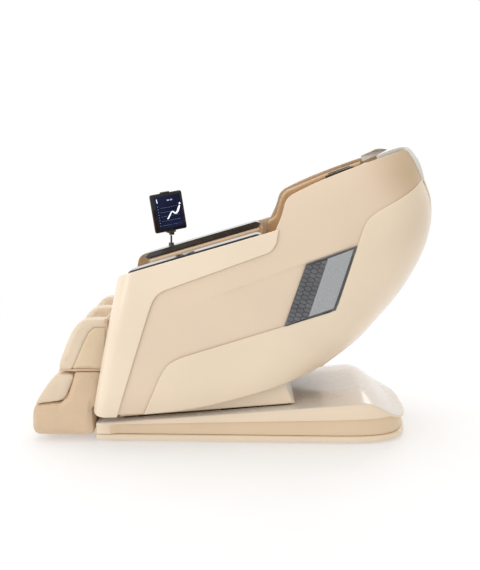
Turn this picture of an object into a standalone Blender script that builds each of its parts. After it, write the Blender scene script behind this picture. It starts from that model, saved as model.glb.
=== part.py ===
"""Massage chair: a capsule seat that tilts on a low plinth, with a lifting leg rest.

Frame: +Z up, floor at Z 0, +X towards the head end, +Y on the sitter's right.
The sitter faces -X.  Lengths are metres.
"""
import math

import bmesh
import bpy
from mathutils import Matrix, Vector

# ---------------------------------------------------------------- driving dimensions
HALF_WIDTH = 0.38            # widest point of the side shells
BACK_HALF = 0.190            # where the side shells meet the back shell
SHELL_WALL = 0.004
DECK_WALL = 0.004
DECK_CLEARANCE = 0.0005      # between the pedestal's foot and the deck
RECESS = 0.0075              # the middle panel lies this far below its neighbours
SHELL_GAP = 0.0012           # shadow gap between neighbouring covers
ROUND_DEPTH = 0.25           # how far forward of the back the side becomes flat
ROUND_POWER = 2.5            # squareness of the plan rounding
FRONT_ROLL = 0.070           # how far the front edge turns inwards
FRONT_ROLL_RADIUS = 0.060
ARM_SLOPE = 0.293            # rise of the arm's top edge per metre
TILT_AXIS = (0.18, 0.205)    # X, Z of the recline shaft
LEG_AXIS = (-0.46, 0.42)     # X, Z of the leg-rest shaft
SLIDE = Vector((-0.208, 0.0, -0.978))        # foot unit's travel
BACK_FOOT = Vector((0.20, 0.0, 0.45))        # a point on the backrest's face
BACK_UP = Vector((0.536, 0.0, 0.844))
BACK_OUT = Vector((0.844, 0.0, -0.536))      # from the sitter into the chair
RECLINE_BASE = (-0.36, 0.055)                # lower pivot of the recline actuator
RECLINE_LUG = (-0.12, 0.20)
LEG_MOTOR_BASE = (-0.05, 0.255)
LEG_MOTOR_Y = 0.09           # the leg actuator stands beside the recline actuator
LEG_LUG = (-0.46, 0.335)
PILLOW_AXIS = (0.582, 1.108)
ROLLER_AXIS = (-0.69, 0.080)
WHEEL_AXIS = (0.60, 0.036)
TABLET_AT = Vector((-0.300, 0.300, 0.876))
TABLET_YAW = math.radians(22.0)
TABLET_ROLL = math.radians(-9.0)
POST_AT = Vector((-0.288, 0.306, 0.0))
SIDES = (("left", -1.0), ("right", 1.0))

# ---------------------------------------------------------------- clean slate
for stale in list(bpy.data.objects):
    bpy.data.objects.remove(stale, do_unlink=True)


def collection(name):
    made = bpy.data.collections.new(name)
    bpy.context.scene.collection.children.link(made)
    return made


PARTS = collection("massage_chair")
CUTTERS = collection("cutters")


# ---------------------------------------------------------------- materials
def material(name, colour, roughness, metallic=0.0):
    made = bpy.data.materials.new(name)
    made.use_nodes = True
    shader = made.node_tree.nodes["Principled BSDF"]
    shader.inputs["Base Color"].default_value = (*colour, 1.0)
    shader.inputs["Roughness"].default_value = roughness
    shader.inputs["Metallic"].default_value = metallic
    return made


CHAMPAGNE = material("champagne_shell", (0.80, 0.68, 0.52), 0.28)
ROSE = material("rose_panel", (0.73, 0.60, 0.46), 0.30)
PEARL = material("pearl_white", (0.86, 0.84, 0.80), 0.22)
LEATHER = material("tan_leather", (0.62, 0.43, 0.26), 0.50)
PALE_LEATHER = material("pale_leather", (0.78, 0.62, 0.46), 0.48)
GLOSS_BLACK = material("gloss_black", (0.03, 0.03, 0.035), 0.15)
GRILLE_DARK = material("grille_dark", (0.06, 0.05, 0.06), 0.45)
STEEL = material("steel", (0.45, 0.45, 0.47), 0.35, 1.0)
DARK_STEEL = material("painted_steel", (0.05, 0.05, 0.055), 0.50)
PLASTIC = material("black_plastic", (0.04, 0.04, 0.04), 0.55)
RUBBER = material("rubber", (0.02, 0.02, 0.02), 0.80)
SCREEN = material("screen_glass", (0.02, 0.03, 0.12), 0.08)


# ---------------------------------------------------------------- joints' empties
def pivot(name, x, y, z):
    empty = bpy.data.objects.new(name, None)
    empty.location = (x, y, z)
    PARTS.objects.link(empty)
    return empty


TILT = pivot("tilt_pivot", TILT_AXIS[0], 0, TILT_AXIS[1])
LEG = pivot("leg_pivot", LEG_AXIS[0], 0, LEG_AXIS[1])
FOOT = pivot("foot_slide", -0.60, 0, 0.15)
RECLINE_TUBE = pivot("recline_tube_pivot", RECLINE_BASE[0], 0, RECLINE_BASE[1])
LEG_TUBE = pivot("leg_tube_pivot", LEG_MOTOR_BASE[0], 0, LEG_MOTOR_BASE[1])
PILLOW = pivot("pillow_pivot", PILLOW_AXIS[0], 0, PILLOW_AXIS[1])
POST = pivot("tablet_swivel", *POST_AT)
TABLET = pivot("tablet_tilt", -0.2865, 0.3071, 0.7802)
bpy.context.view_layer.update()


# ---------------------------------------------------------------- building helpers
def link(name, mesh, paint=None, parent=None):
    """A finished piece, or a cutter when it has no paint."""
    made = bpy.data.objects.new(name, mesh)
    if paint is None:
        CUTTERS.objects.link(made)
        made.hide_render = True
        made.display_type = "WIRE"
        return made
    PARTS.objects.link(made)
    mesh.materials.append(paint)
    if parent:
        made.parent = parent
        made.matrix_parent_inverse = parent.matrix_world.inverted()
    return made


def to_mesh(name, bm):
    """The mesh of a closed shape, with its faces pointing out."""
    bmesh.ops.recalc_face_normals(bm, faces=bm.faces)
    if bm.calc_volume(signed=True) < 0:
        bmesh.ops.reverse_faces(bm, faces=bm.faces)
    mesh = bpy.data.meshes.new(name)
    bm.to_mesh(mesh)
    bm.free()
    return mesh


def bevel(made, width, segments=1):
    if width:
        rounding = made.modifiers.new("rounding", "BEVEL")
        rounding.width = width
        rounding.segments = segments
        rounding.limit_method = "ANGLE"
        rounding.angle_limit = math.radians(40)
    return made


def boolean(made, cutter, operation="DIFFERENCE"):
    cut = made.modifiers.new(cutter.name, "BOOLEAN")
    cut.object = cutter
    cut.operation = operation
    cut.solver = "EXACT"
    return made


def box(name, low, high, paint=None, parent=None, width=0.0):
    size = [h - l for l, h in zip(low, high)]
    middle = [(h + l) / 2 for l, h in zip(low, high)]
    bm = bmesh.new()
    bmesh.ops.create_cube(bm, size=1.0)
    bmesh.ops.scale(bm, vec=size, verts=bm.verts)
    bmesh.ops.translate(bm, vec=middle, verts=bm.verts)
    return bevel(link(name, to_mesh(name, bm), paint, parent), width)


def rod(name, start, end, radius, paint=None, parent=None, sides=12):
    start = Vector(start)
    end = Vector(end)
    turn = (end - start).to_track_quat("Z", "Y").to_matrix().to_4x4()
    bm = bmesh.new()
    bmesh.ops.create_cone(bm, cap_ends=True, segments=sides, radius1=radius,
                          radius2=radius, depth=(end - start).length)
    bm.transform(Matrix.Translation((start + end) / 2) @ turn)
    made = link(name, to_mesh(name, bm), paint, parent)
    made.data.shade_smooth()
    made.data.set_sharp_from_angle(angle=math.radians(40))
    return made


def rounded(corners, radius=0.01, steps=3):
    """The closed outline with each corner turned into a small arc."""
    outline = []
    count = len(corners)
    for index, corner in enumerate(corners):
        here = Vector(corner[:2])
        size = corner[2] if len(corner) > 2 else radius
        before = Vector(corners[index - 1][:2]) - here
        after = Vector(corners[(index + 1) % count][:2]) - here
        if size <= 0:
            outline.append(tuple(here))
            continue
        reach = min(size, 0.45 * before.length, 0.45 * after.length)
        first = here + before.normalized() * reach
        last = here + after.normalized() * reach
        for step in range(steps + 1):
            t = step / steps
            point = first.lerp(here, t).lerp(here.lerp(last, t), t)
            outline.append((point.x, point.y))
    return outline


def extrude(name, outline, low, high, paint=None, parent=None, axis="Y", width=0.0):
    """A flat outline given thickness along Y (outline in XZ) or Z (outline in XY)."""
    curve = bpy.data.curves.new(name, "CURVE")
    curve.dimensions = "2D"
    curve.fill_mode = "BOTH"
    curve.extrude = (high - low) / 2
    spline = curve.splines.new("POLY")
    spline.points.add(len(outline) - 1)
    for point, place in zip(spline.points, outline):
        point.co = (place[0], place[1], 0.0, 1.0)
    spline.use_cyclic_u = True
    flat = bpy.data.objects.new(name + "_outline", curve)
    CUTTERS.objects.link(flat)
    if axis == "Y":
        flat.rotation_euler = (math.pi / 2, 0, 0)
        flat.location = (0, (low + high) / 2, 0)
    else:
        flat.location = (0, 0, (low + high) / 2)
    bpy.context.view_layer.update()
    evaluated = flat.evaluated_get(bpy.context.evaluated_depsgraph_get())
    mesh = bpy.data.meshes.new_from_object(evaluated)
    bm = bmesh.new()
    bm.from_mesh(mesh)
    bm.transform(flat.matrix_world)
    bmesh.ops.remove_doubles(bm, verts=bm.verts, dist=1e-5)
    bpy.data.objects.remove(flat, do_unlink=True)
    return bevel(link(name, to_mesh(name, bm), paint, parent), width)


def union(made, *others):
    for other in others:
        boolean(made, other, "UNION")
    return made


def smooth_line(keys, steps):
    """A Catmull-Rom line through the keys."""
    keys = [Vector(key) for key in keys]
    ends = [2 * keys[0] - keys[1]] + keys + [2 * keys[-1] - keys[-2]]
    line = []
    for index in range(len(keys) - 1):
        a, b, c, d = ends[index:index + 4]
        for step in range(steps):
            t = step / steps
            line.append(0.5 * ((2 * b) + (c - a) * t + (2 * a - 5 * b + 4 * c - d) * t * t
                               + (3 * b - a - 3 * c + d) * t ** 3))
    line.append(keys[-1])
    return line


def skin(name, rows, paint, inset=0.0, wall=SHELL_WALL, parent=TILT):
    """A shell: the open surface through the rows, pushed in by inset and given a wall."""
    bm = bmesh.new()
    grid = [[bm.verts.new(point) for point in row] for row in rows]
    for upper, lower in zip(grid, grid[1:]):
        for index in range(len(upper) - 1):
            bm.faces.new((lower[index], lower[index + 1], upper[index + 1], upper[index]))
    bm.normal_update()
    outward = [(vert, vert.normal.copy()) for vert in bm.verts]
    for vert, normal in outward:
        vert.co -= normal * inset
    mesh = bpy.data.meshes.new(name)
    bm.to_mesh(mesh)
    bm.free()
    made = link(name, mesh, paint, parent)
    shell = made.modifiers.new("wall", "SOLIDIFY")
    shell.thickness = wall
    shell.offset = -1.0
    shell.use_even_offset = True
    return made


# ---------------------------------------------------------------- the capsule's form
BACK_LINE = smooth_line([(0.700, 1.230), (0.738, 1.130), (0.766, 1.048), (0.794, 0.968),
                         (0.800, 0.885), (0.787, 0.802), (0.758, 0.720), (0.716, 0.638),
                         (0.662, 0.556), (0.587, 0.465), (0.511, 0.380), (0.415, 0.302),
                         (0.350, 0.251), (0.285, 0.185), (0.190, 0.110), (0.000, 0.045),
                         (-0.300, 0.000), (-0.600, -0.05)], 3)


def depth(x, z):
    """Distance forward of the back's centre line."""
    place = Vector((x, z))
    nearest = 1.0
    for a, b in zip(BACK_LINE, BACK_LINE[1:]):
        span = b - a
        t = max(0.0, min(1.0, (place - a).dot(span) / span.length_squared))
        nearest = min(nearest, (a + span * t - place).length)
    return nearest


def front_distance(x, z):
    """Distance behind the sloping front edge of the side shells."""
    return (x + 0.5455) - (z - 0.145) * 0.205


def half_width(x, z):
    near = 1.0 - min(depth(x, z), ROUND_DEPTH) / ROUND_DEPTH
    plan = (1.0 - near ** ROUND_POWER) ** (1.0 / ROUND_POWER)
    off_middle = abs(z - (0.50 + 0.24 * x)) / 0.30
    crown = 0.030 * off_middle ** 2.5
    lead = 1.0 - max(0.0, min(front_distance(x, z), FRONT_ROLL_RADIUS)) / FRONT_ROLL_RADIUS
    roll = FRONT_ROLL * (1.0 - math.sqrt(1.0 - lead * lead))
    return (HALF_WIDTH - crown) * plan - roll


SIDE_PAIRS = (   # a point on the rear or bottom edge, and the point on the top or front edge
    ((0.690, 1.160), (0.598, 1.155)), ((0.742, 1.075), (0.478, 1.104)),
    ((0.790, 0.900), (0.300, 1.036)), ((0.768, 0.770), (0.192, 1.004)),
    ((0.708, 0.645), (0.158, 0.870)), ((0.612, 0.512), (0.020, 0.824)),
    ((0.470, 0.357), (-0.180, 0.766)), ((0.300, 0.245), (-0.402, 0.706)),
    ((0.000, 0.172), (-0.462, 0.655)), ((-0.215, 0.124), (-0.492, 0.472)),
    ((-0.400, 0.104), (-0.527, 0.300)), ((-0.512, 0.100), (-0.565, 0.128)))
ACROSS = (0.0, 0.02, 0.05, 0.10, 0.18, 0.30, 0.45, 0.62, 0.78, 0.88, 0.93, 0.96, 0.985, 1.0)


def side_rows(sign):
    rear = [Vector(pair[0]) for pair in SIDE_PAIRS]
    front = [Vector(pair[1]) for pair in SIDE_PAIRS]
    rows = []
    for a, b in zip(rear, front):
        row = []
        for part in ACROSS:
            place = a.lerp(b, part)
            row.append(Vector((place.x, sign * half_width(place.x, place.y), place.y)))
        rows.append(row if sign > 0 else row[::-1])
    return rows


SIDE_ROWS = {sign: side_rows(sign) for _, sign in SIDES}


def side_piece(name, sign, outline, paint, inset=0.0, wall=SHELL_WALL):
    """The part of a side's skin that lies inside the outline."""
    made = skin(name, SIDE_ROWS[sign], paint, inset, wall)
    low, high = sorted((sign * (BACK_HALF + 0.0015), sign * 0.45))
    return boolean(made, extrude(name + "_trim", outline, low, high), "INTERSECT")


def shifted(points, dx, dz):
    return [(p[0] + dx, p[1] + dz, *p[2:]) for p in points]


def arm_line(x):
    """Height of the arm's top edge."""
    return 0.831 + ARM_SLOPE * (x - 0.098)


# Lines on the side, each from the bottom or front end to the top or rear end.
COVER_LINE = [(-0.449, 0.116, 0), (-0.301, 0.581, 0.05), (-0.275, 0.618, 0.04),
              (0.150, 0.772, 0.02), (0.168, 0.800, 0.02), (0.179, 0.857, 0)]
REAR_LINE = [(-0.345, 0.124, 0), (-0.262, 0.320, 0.06), (-0.215, 0.360, 0.05),
             (0.213, 0.494, 0), (0.362, 0.537, 0)]
UPPER_LINE = [(0.470, 0.797, 0.02), (0.500, 0.880, 0.05), (0.535, 0.916, 0.04),
              (0.680, 0.994, 0.10), (0.742, 1.041, 0)]
BOTTOM_FRONT = [(-0.544, 0.145, 0.02), (-0.530, 0.122, 0.02), (-0.460, 0.118, 0)]
BOTTOM_REAR = [(0.330, 0.240, 0), (0.300, 0.275, 0.03), (0.250, 0.259, 0.05), (0.080, 0.2075, 0.10),
               (-0.072, 0.165, 0.10), (-0.215, 0.138, 0.10)]
GRILLE = [(0.200, 0.489, 0.012), (0.280, 0.728, 0.016), (0.470, 0.797, 0.020),
          (0.395, 0.552, 0.030)]
WING_EDGE = [(0.177, 0.859, 0), (0.191, 0.911, 0.05), (0.207, 0.981, 0.010)]
WING_TOP = [(0.305, 1.026, 0.05), (0.410, 1.069, 0.05), (0.541, 1.117, 0.05),
            (0.646, 1.148, 0.03), (0.700, 1.170, 0)]


def side_shells(side, sign):
    front = [(-0.507, 0.346, 0.10), (-0.477, 0.472, 0.10), (-0.432, 0.672, 0.020),
             (-0.384, 0.691, 0.030), (0.098, 0.831, 0.05)]
    cover = front + shifted(COVER_LINE[::-1], -SHELL_GAP, 0) + BOTTOM_FRONT[::-1]
    side_piece("side_front_" + side, sign, rounded(cover, 0), CHAMPAGNE)

    rear = shifted(REAR_LINE, SHELL_GAP, -SHELL_GAP) + shifted(UPPER_LINE, SHELL_GAP, -SHELL_GAP)
    rear += [(0.86, 1.00, 0), (0.86, 0.30, 0), (0.40, 0.18, 0)] + BOTTOM_REAR
    shell = side_piece("side_rear_" + side, sign, rounded(rear, 0), CHAMPAGNE)
    window = rounded(scaled(GRILLE, 0.0008), 0)
    boolean(shell, extrude("grille_window_" + side, window, -0.45, 0.45))

    middle = [(-0.458, 0.120, 0), (-0.311, 0.588, 0.05), (-0.283, 0.629, 0.04),
              (0.140, 0.781, 0.02), (0.156, 0.806, 0.02), (0.165, 0.853, 0)]
    middle += WING_EDGE + WING_TOP + [(0.80, 1.15, 0), (0.80, 1.045, 0), (0.742, 1.028, 0),
                                      (0.690, 0.985, 0.10), (0.545, 0.905, 0.04),
                                      (0.510, 0.870, 0.05), (0.410, 0.545, 0.03),
                                      (0.362, 0.524, 0.03), (-0.208, 0.348, 0.05),
                                      (-0.252, 0.312, 0.06), (-0.332, 0.122, 0)]
    side_piece("side_middle_" + side, sign, rounded(middle, 0), ROSE, RECESS)
    side_piece("side_grille_" + side, sign, rounded(GRILLE, 0), GRILLE_DARK, -0.001, 0.0055)

    liner = [(0.150, 0.420, 0.02), (0.150, 0.836, 0.01), (0.187, 0.862, 0.01),
             (0.200, 0.915, 0.05), (0.216, 0.975, 0.015), (0.410, 1.060, 0.05),
             (0.560, 1.115, 0.02), (0.600, 1.060, 0.05), (0.450, 0.760, 0.05),
             (0.310, 0.520, 0.05), (0.240, 0.420, 0.02)]
    side_piece("wing_liner_" + side, sign, rounded(liner, 0), LEATHER, 0.0155, 0.016)
    pod = [(0.405, 1.045, 0.010), (0.515, 1.088, 0.010), (0.530, 1.020, 0.015),
           (0.415, 0.978, 0.015)]
    side_piece("speaker_" + side, sign, rounded(pod, 0), GLOSS_BLACK, 0.0350, 0.006)


def scaled(points, grow):
    """The outline moved out from its middle by grow."""
    middle = sum((Vector(p[:2]) for p in points), Vector((0, 0))) / len(points)
    out = []
    for point in points:
        place = Vector(point[:2])
        place += (place - middle).normalized() * grow * 1.5
        out.append((place.x, place.y, *point[2:]))
    return out


def edge_inset(y):
    """How far the rounded back lies inside its own centre line at a distance y."""
    return ROUND_DEPTH * (1 - (1 - (abs(y) / HALF_WIDTH) ** ROUND_POWER) ** (1 / ROUND_POWER))


def back_rows(line, widths, columns=8):
    """Rows across the chair, following a centre line that runs from top to bottom."""
    rows = []
    for index, centre in enumerate(line):
        ahead = line[min(index + 1, len(line) - 1)] - line[max(index - 1, 0)]
        inward = Vector((ahead.y, -ahead.x)).normalized()
        row = []
        for step in range(columns + 1):
            y = widths[index] * (2 * step / columns - 1)
            place = centre + inward * edge_inset(y)
            row.append(Vector((place.x, y, place.y)))
        rows.append(row)
    return rows


def back_shells():
    line = smooth_line([(0.768, 1.040), (0.794, 0.968), (0.800, 0.885), (0.787, 0.802),
                        (0.758, 0.720), (0.716, 0.638), (0.662, 0.556), (0.587, 0.465),
                        (0.511, 0.380), (0.415, 0.302), (0.338, 0.240)], 1)
    skin("back_shell", back_rows(line, [BACK_HALF] * len(line)), CHAMPAGNE)
    crest = smooth_line([(0.602, 1.158), (0.632, 1.1685), (0.664, 1.1705), (0.700, 1.160),
                         (0.735, 1.128), (0.755, 1.085), (0.7675, 1.0425)], 1)
    widths = []
    for place in crest:
        inner = half_width(place.x - 0.01, place.y - 0.035) - 0.040
        widths.append(max(BACK_HALF, inner) if place.y > 1.145 else BACK_HALF)
    skin("hood", back_rows(crest, widths), PEARL)


# ---------------------------------------------------------------- base
def base_ring(inset, height, arc=10):
    """A closed ring round the base; height is a function of X."""
    front = -0.535 + inset
    rear = 0.715 - inset
    swell = 0.40
    half = []
    for step in range(arc + 1):
        angle = 0.5 * math.pi * step / arc
        x = swell + (rear - swell) * math.cos(angle) ** 0.85
        side = 0.314 - inset
        half.append((x, side * math.sin(angle) ** 0.85 if step else 0.0))
    half += [(0.10, 0.306 - inset), (-0.20, 0.299 - inset), (front + 0.044, 0.291 - inset),
             (front + 0.016, 0.279 - inset), (front + 0.005, 0.250 - inset), (front, 0.0)]
    ring = half + [(x, -y) for x, y in half[-2:0:-1]]
    return [Vector((x, y, height(x))) for x, y in ring]


def deck_edge(x):
    """Height of the deck's top edge."""
    if x < 0.485:
        return 0.078 + 0.085 * (x + 0.535) / 1.02
    return 0.163 - 0.048 * min(1.0, (x - 0.485) / 0.16) ** 1.5


def groove_top(x):
    return min(0.078, deck_edge(x) - 0.012) if x < -0.40 else 0.070 + 0.030 * (x + 0.535)


def ring_solid(name, rings, paint=None, parent=None, flat_ends=False):
    """A closed solid lofted through closed rings that are symmetric in Y."""
    bm = bmesh.new()
    grid = [[bm.verts.new(point) for point in ring] for ring in rings]
    count = len(grid[0])
    for lower, upper in zip(grid, grid[1:]):
        for index in range(count):
            after = (index + 1) % count
            bm.faces.new((lower[index], lower[after], upper[after], upper[index]))
    half = count // 2
    for ring in (grid[0], grid[-1]):
        if flat_ends:
            bm.faces.new(ring)
            continue
        for index in range(half):
            corners = [ring[index], ring[index + 1], ring[-index - 1], ring[-index]]
            corners = list(dict.fromkeys(corners))
            if len(corners) > 2:
                bm.faces.new(corners)
    return link(name, to_mesh(name, bm), paint, parent)


def deck_rings(inset, drop):
    rings = [base_ring(0.010 + inset, lambda x: 0.0335 - 3 * drop),
             base_ring(0.010 + inset, lambda x: groove_top(x) + drop)]
    rings += [base_ring(inset, lambda x: groove_top(x) + drop),
              base_ring(inset, lambda x: deck_edge(x) - 0.006 - 0.3 * drop),
              base_ring(0.006 + inset, lambda x: deck_edge(x) - drop)]
    rings += [base_ring(0.10 + inset, lambda x: deck_edge(x) + 0.014 - drop),
              base_ring(0.20 + inset, lambda x: deck_edge(x) + 0.018 - drop)]
    return rings


def base_pieces():
    deck = ring_solid("base_deck", deck_rings(0.0, 0.0), CHAMPAGNE)
    boolean(deck, ring_solid("deck_hollow", deck_rings(DECK_WALL, DECK_WALL)))
    boolean(deck, box("deck_opening", (-0.435, -0.262, 0.045), (0.235, 0.262, 0.30)))
    boolean(deck, box("inlet_opening", (0.66, 0.045, 0.045), (0.74, 0.135, 0.085)))

    plate = [(p.x, p.y) for p in base_ring(0.0, lambda x: 0.0)]
    plinth = extrude("base_plinth", plate, 0.008, 0.031, CHAMPAGNE, axis="Z", width=0.003)
    for side, sign in SIDES:
        low, high = sorted((sign * 0.135, sign * 0.185))
        slot = box("wheel_slot_" + side, (0.545, low, -0.02), (0.655, high, 0.06))
        boolean(plinth, slot)

    skirt = rounded([(-0.452, deck_edge(-0.452), 0), (-0.432, 0.178, 0.015),
                     (0.2055, 0.241, 0.006), (0.252, deck_edge(0.252), 0)])
    pedestal = extrude("pedestal_skirt", skirt, -0.2695, 0.2695, CHAMPAGNE)
    boolean(pedestal, ring_solid("deck_room", deck_rings(0.0, -DECK_CLEARANCE)))
    hollow = [(-0.443, 0.04), (-0.426, 0.30), (0.1638, 0.30), (0.2455, 0.165), (0.2455, 0.04)]
    boolean(pedestal, extrude("pedestal_hollow", hollow, -0.2645, 0.2645))

    for end, x in (("front", -0.440), ("rear", 0.470)):
        for side, sign in SIDES:
            rod("foot_%s_%s" % (end, side), (x, sign * 0.235, 0.0), (x, sign * 0.235, 0.0077),
                0.028, RUBBER, sides=20)


def chassis():
    low = 0.034
    frame = box("chassis_frame", (-0.40, 0.200, low), (0.42, 0.225, 0.064), DARK_STEEL)
    extra = [box("chassis_rail", (-0.40, -0.225, low), (0.42, -0.200, 0.064)),
             box("cross_front", (-0.396, -0.215, 0.0360), (-0.370, 0.215, 0.0450)),
             box("cross_middle", (0.155, -0.215, 0.0360), (0.205, 0.215, 0.0560)),
             box("cross_rear", (0.392, -0.215, 0.0360), (0.416, 0.215, 0.0600))]
    for sign in (-1, 1):
        low_y, high_y = sorted((sign * 0.204, sign * 0.212))
        cheek = rounded([(0.120, 0.048, 0), (0.240, 0.048, 0), (0.205, 0.226, 0.02),
                         (0.155, 0.226, 0.02)])
        extra.append(extrude("tilt_cheek", cheek, low_y, high_y))
        low_y, high_y = sorted((sign * 0.026, sign * 0.034))
        ear = rounded([(-0.382, 0.038, 0), (-0.338, 0.038, 0), (-0.343, 0.072, 0.014),
                       (-0.377, 0.072, 0.014)])
        extra.append(extrude("motor_ear", ear, low_y, high_y))
    extra.append(box("ear_foot", (-0.386, -0.037, 0.0370), (-0.334, 0.037, 0.0405)))
    union(frame, *extra)
    boolean(frame, rod("tilt_bore", (TILT_AXIS[0], -0.3, TILT_AXIS[1]),
                       (TILT_AXIS[0], 0.3, TILT_AXIS[1]), 0.0130))
    rod("tilt_shaft", (TILT_AXIS[0], -0.214, TILT_AXIS[1]),
        (TILT_AXIS[0], 0.214, TILT_AXIS[1]), 0.0125, STEEL)
    box("control_box", (-0.28, 0.06, 0.0345), (-0.10, 0.19, 0.090), PLASTIC, width=0.004)
    box("air_pump", (-0.05, -0.19, 0.0345), (0.11, -0.06, 0.105), PLASTIC, width=0.012)
    x, z = WHEEL_AXIS
    rod("wheel_axle", (x, -0.190, z), (x, 0.190, z), 0.005, STEEL, sides=12)
    for side, sign in SIDES:
        hub = pivot("wheel_pivot_" + side, x, sign * 0.16, z)
        bpy.context.view_layer.update()
        wheel = rod("transport_wheel_" + side, (x, sign * 0.145, z), (x, sign * 0.175, z),
                    0.030, RUBBER, hub, sides=24)
        bore = rod("wheel_bore_" + side, (x, sign * 0.13, z), (x, sign * 0.19, z), 0.0056)
        boolean(wheel, bore)
    inlet = box("power_inlet", (0.684, 0.050, 0.047), (0.709, 0.130, 0.083), PLASTIC, width=0.002)
    boolean(inlet, box("inlet_pocket", (0.695, 0.056, 0.053), (0.72, 0.084, 0.077)))
    boolean(inlet, box("switch_pocket", (0.692, 0.094, 0.053), (0.72, 0.126, 0.077)))
    rocker = pivot("switch_pivot", 0.7005, 0.110, 0.065)
    bpy.context.view_layer.update()
    key = rounded([(0.6965, 0.0560, 0.002), (0.7080, 0.0545, 0.002), (0.7040, 0.0650, 0.01),
                   (0.7065, 0.0735, 0.002), (0.6965, 0.0735, 0.002)])
    extrude("power_switch", key, 0.0965, 0.1235, PLASTIC, rocker)


# ---------------------------------------------------------------- actuators
def actuator(name, rod_name, base, lug, tube_length, tube_parent, y=0.0):
    """A motor tube on a pivot, and the rod that slides out of it."""
    start = Vector((base[0], y, base[1]))
    end = Vector((lug[0], y, lug[1]))
    along = (end - start).normalized()
    mouth = start + along * tube_length
    tube = rod(name, start + along * 0.012, mouth, 0.019, DARK_STEEL, tube_parent, sides=20)
    eye = rod(name + "_eye", start - Vector((0, 0.022, 0)), start + Vector((0, 0.022, 0)), 0.013)
    motor_at = start + along * 0.085 + Vector((0, 0.036, 0))
    motor = rod(name + "_motor", motor_at - along * 0.035, motor_at + along * 0.045, 0.020)
    union(tube, eye, motor)
    bore = rod(name + "_bore", start + along * 0.045, mouth + along * 0.02, 0.0100)
    boolean(tube, bore)
    inner = rod(rod_name, start + along * 0.055, end - along * 0.006, 0.0092, STEEL,
                tube_parent, sides=16)
    head = rod(rod_name + "_head", end - Vector((0, 0.010, 0)), end + Vector((0, 0.010, 0)), 0.013)
    union(inner, head)
    return tube, inner


# ---------------------------------------------------------------- seat frame
def back_point(up, out):
    place = BACK_FOOT + BACK_UP * up + BACK_OUT * out
    return (place.x, place.z)


def seat_frame():
    path = [(-0.335, 0.366), (0.085, 0.262), (0.150, 0.262), back_point(-0.05, 0.185),
            back_point(0.52, 0.185)]
    under = [(-0.335, 0.360), (0.085, 0.256), (0.156, 0.256), back_point(-0.055, 0.191),
             back_point(0.52, 0.191)]
    frame = extrude("seat_frame", path + under[::-1], -0.181, 0.181, DARK_STEEL, TILT)
    extra = []
    for sign in (-1, 1):
        low_y, high_y = sorted((sign * 0.170, sign * 0.178))
        cheek = rounded([(0.07, 0.264, 0), (0.160, 0.188, 0.02), (0.198, 0.188, 0.02),
                         (0.193, 0.222, 0.02), (0.167, 0.2635, 0)])
        extra.append(extrude("seat_cheek", cheek, low_y, high_y))
        low_y, high_y = sorted((sign * 0.2165, sign * 0.2245))
        arm = rounded([(LEG_AXIS[0] - 0.020, 0.403, 0.015), (-0.380, 0.345, 0.02), (-0.25, 0.315, 0),
                       (-0.25, 0.338, 0), (-0.360, 0.370, 0.02), (-0.410, 0.438, 0.02),
                       (LEG_AXIS[0] - 0.020, 0.438, 0.015)])
        extra.append(extrude("leg_arm", arm, low_y, high_y))
        low_y, high_y = sorted((sign * 0.150, sign * 0.2205))
        extra.append(box("arm_bridge", (-0.300, low_y, 0.3300), (-0.262, high_y, 0.3465)))
        low_y, high_y = sorted((sign * 0.012, sign * 0.018))
        ear = rounded([(-0.165, 0.320, 0), (-0.140, 0.188, 0.015), (-0.100, 0.188, 0.015),
                       (-0.065, 0.297, 0)])
        extra.append(extrude("recline_ear", ear, low_y, high_y))
        low_y, high_y = sorted((LEG_MOTOR_Y + sign * 0.0235, LEG_MOTOR_Y + sign * 0.030))
        hanger = rounded([(-0.075, 0.300, 0), (-0.070, 0.240, 0.01), (-0.030, 0.240, 0.01),
                          (-0.020, 0.286, 0)])
        extra.append(extrude("motor_hanger", hanger, low_y, high_y))
    union(frame, *extra)
    for place, radius in ((TILT_AXIS, 0.0130), (LEG_AXIS, 0.0090)):
        boolean(frame, rod("frame_bore", (place[0], -0.3, place[1]), (place[0], 0.3, place[1]),
                           radius))
    rod("leg_shaft", (LEG_AXIS[0], -0.262, LEG_AXIS[1]), (LEG_AXIS[0], 0.262, LEG_AXIS[1]),
        0.0085, STEEL, TILT)


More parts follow.
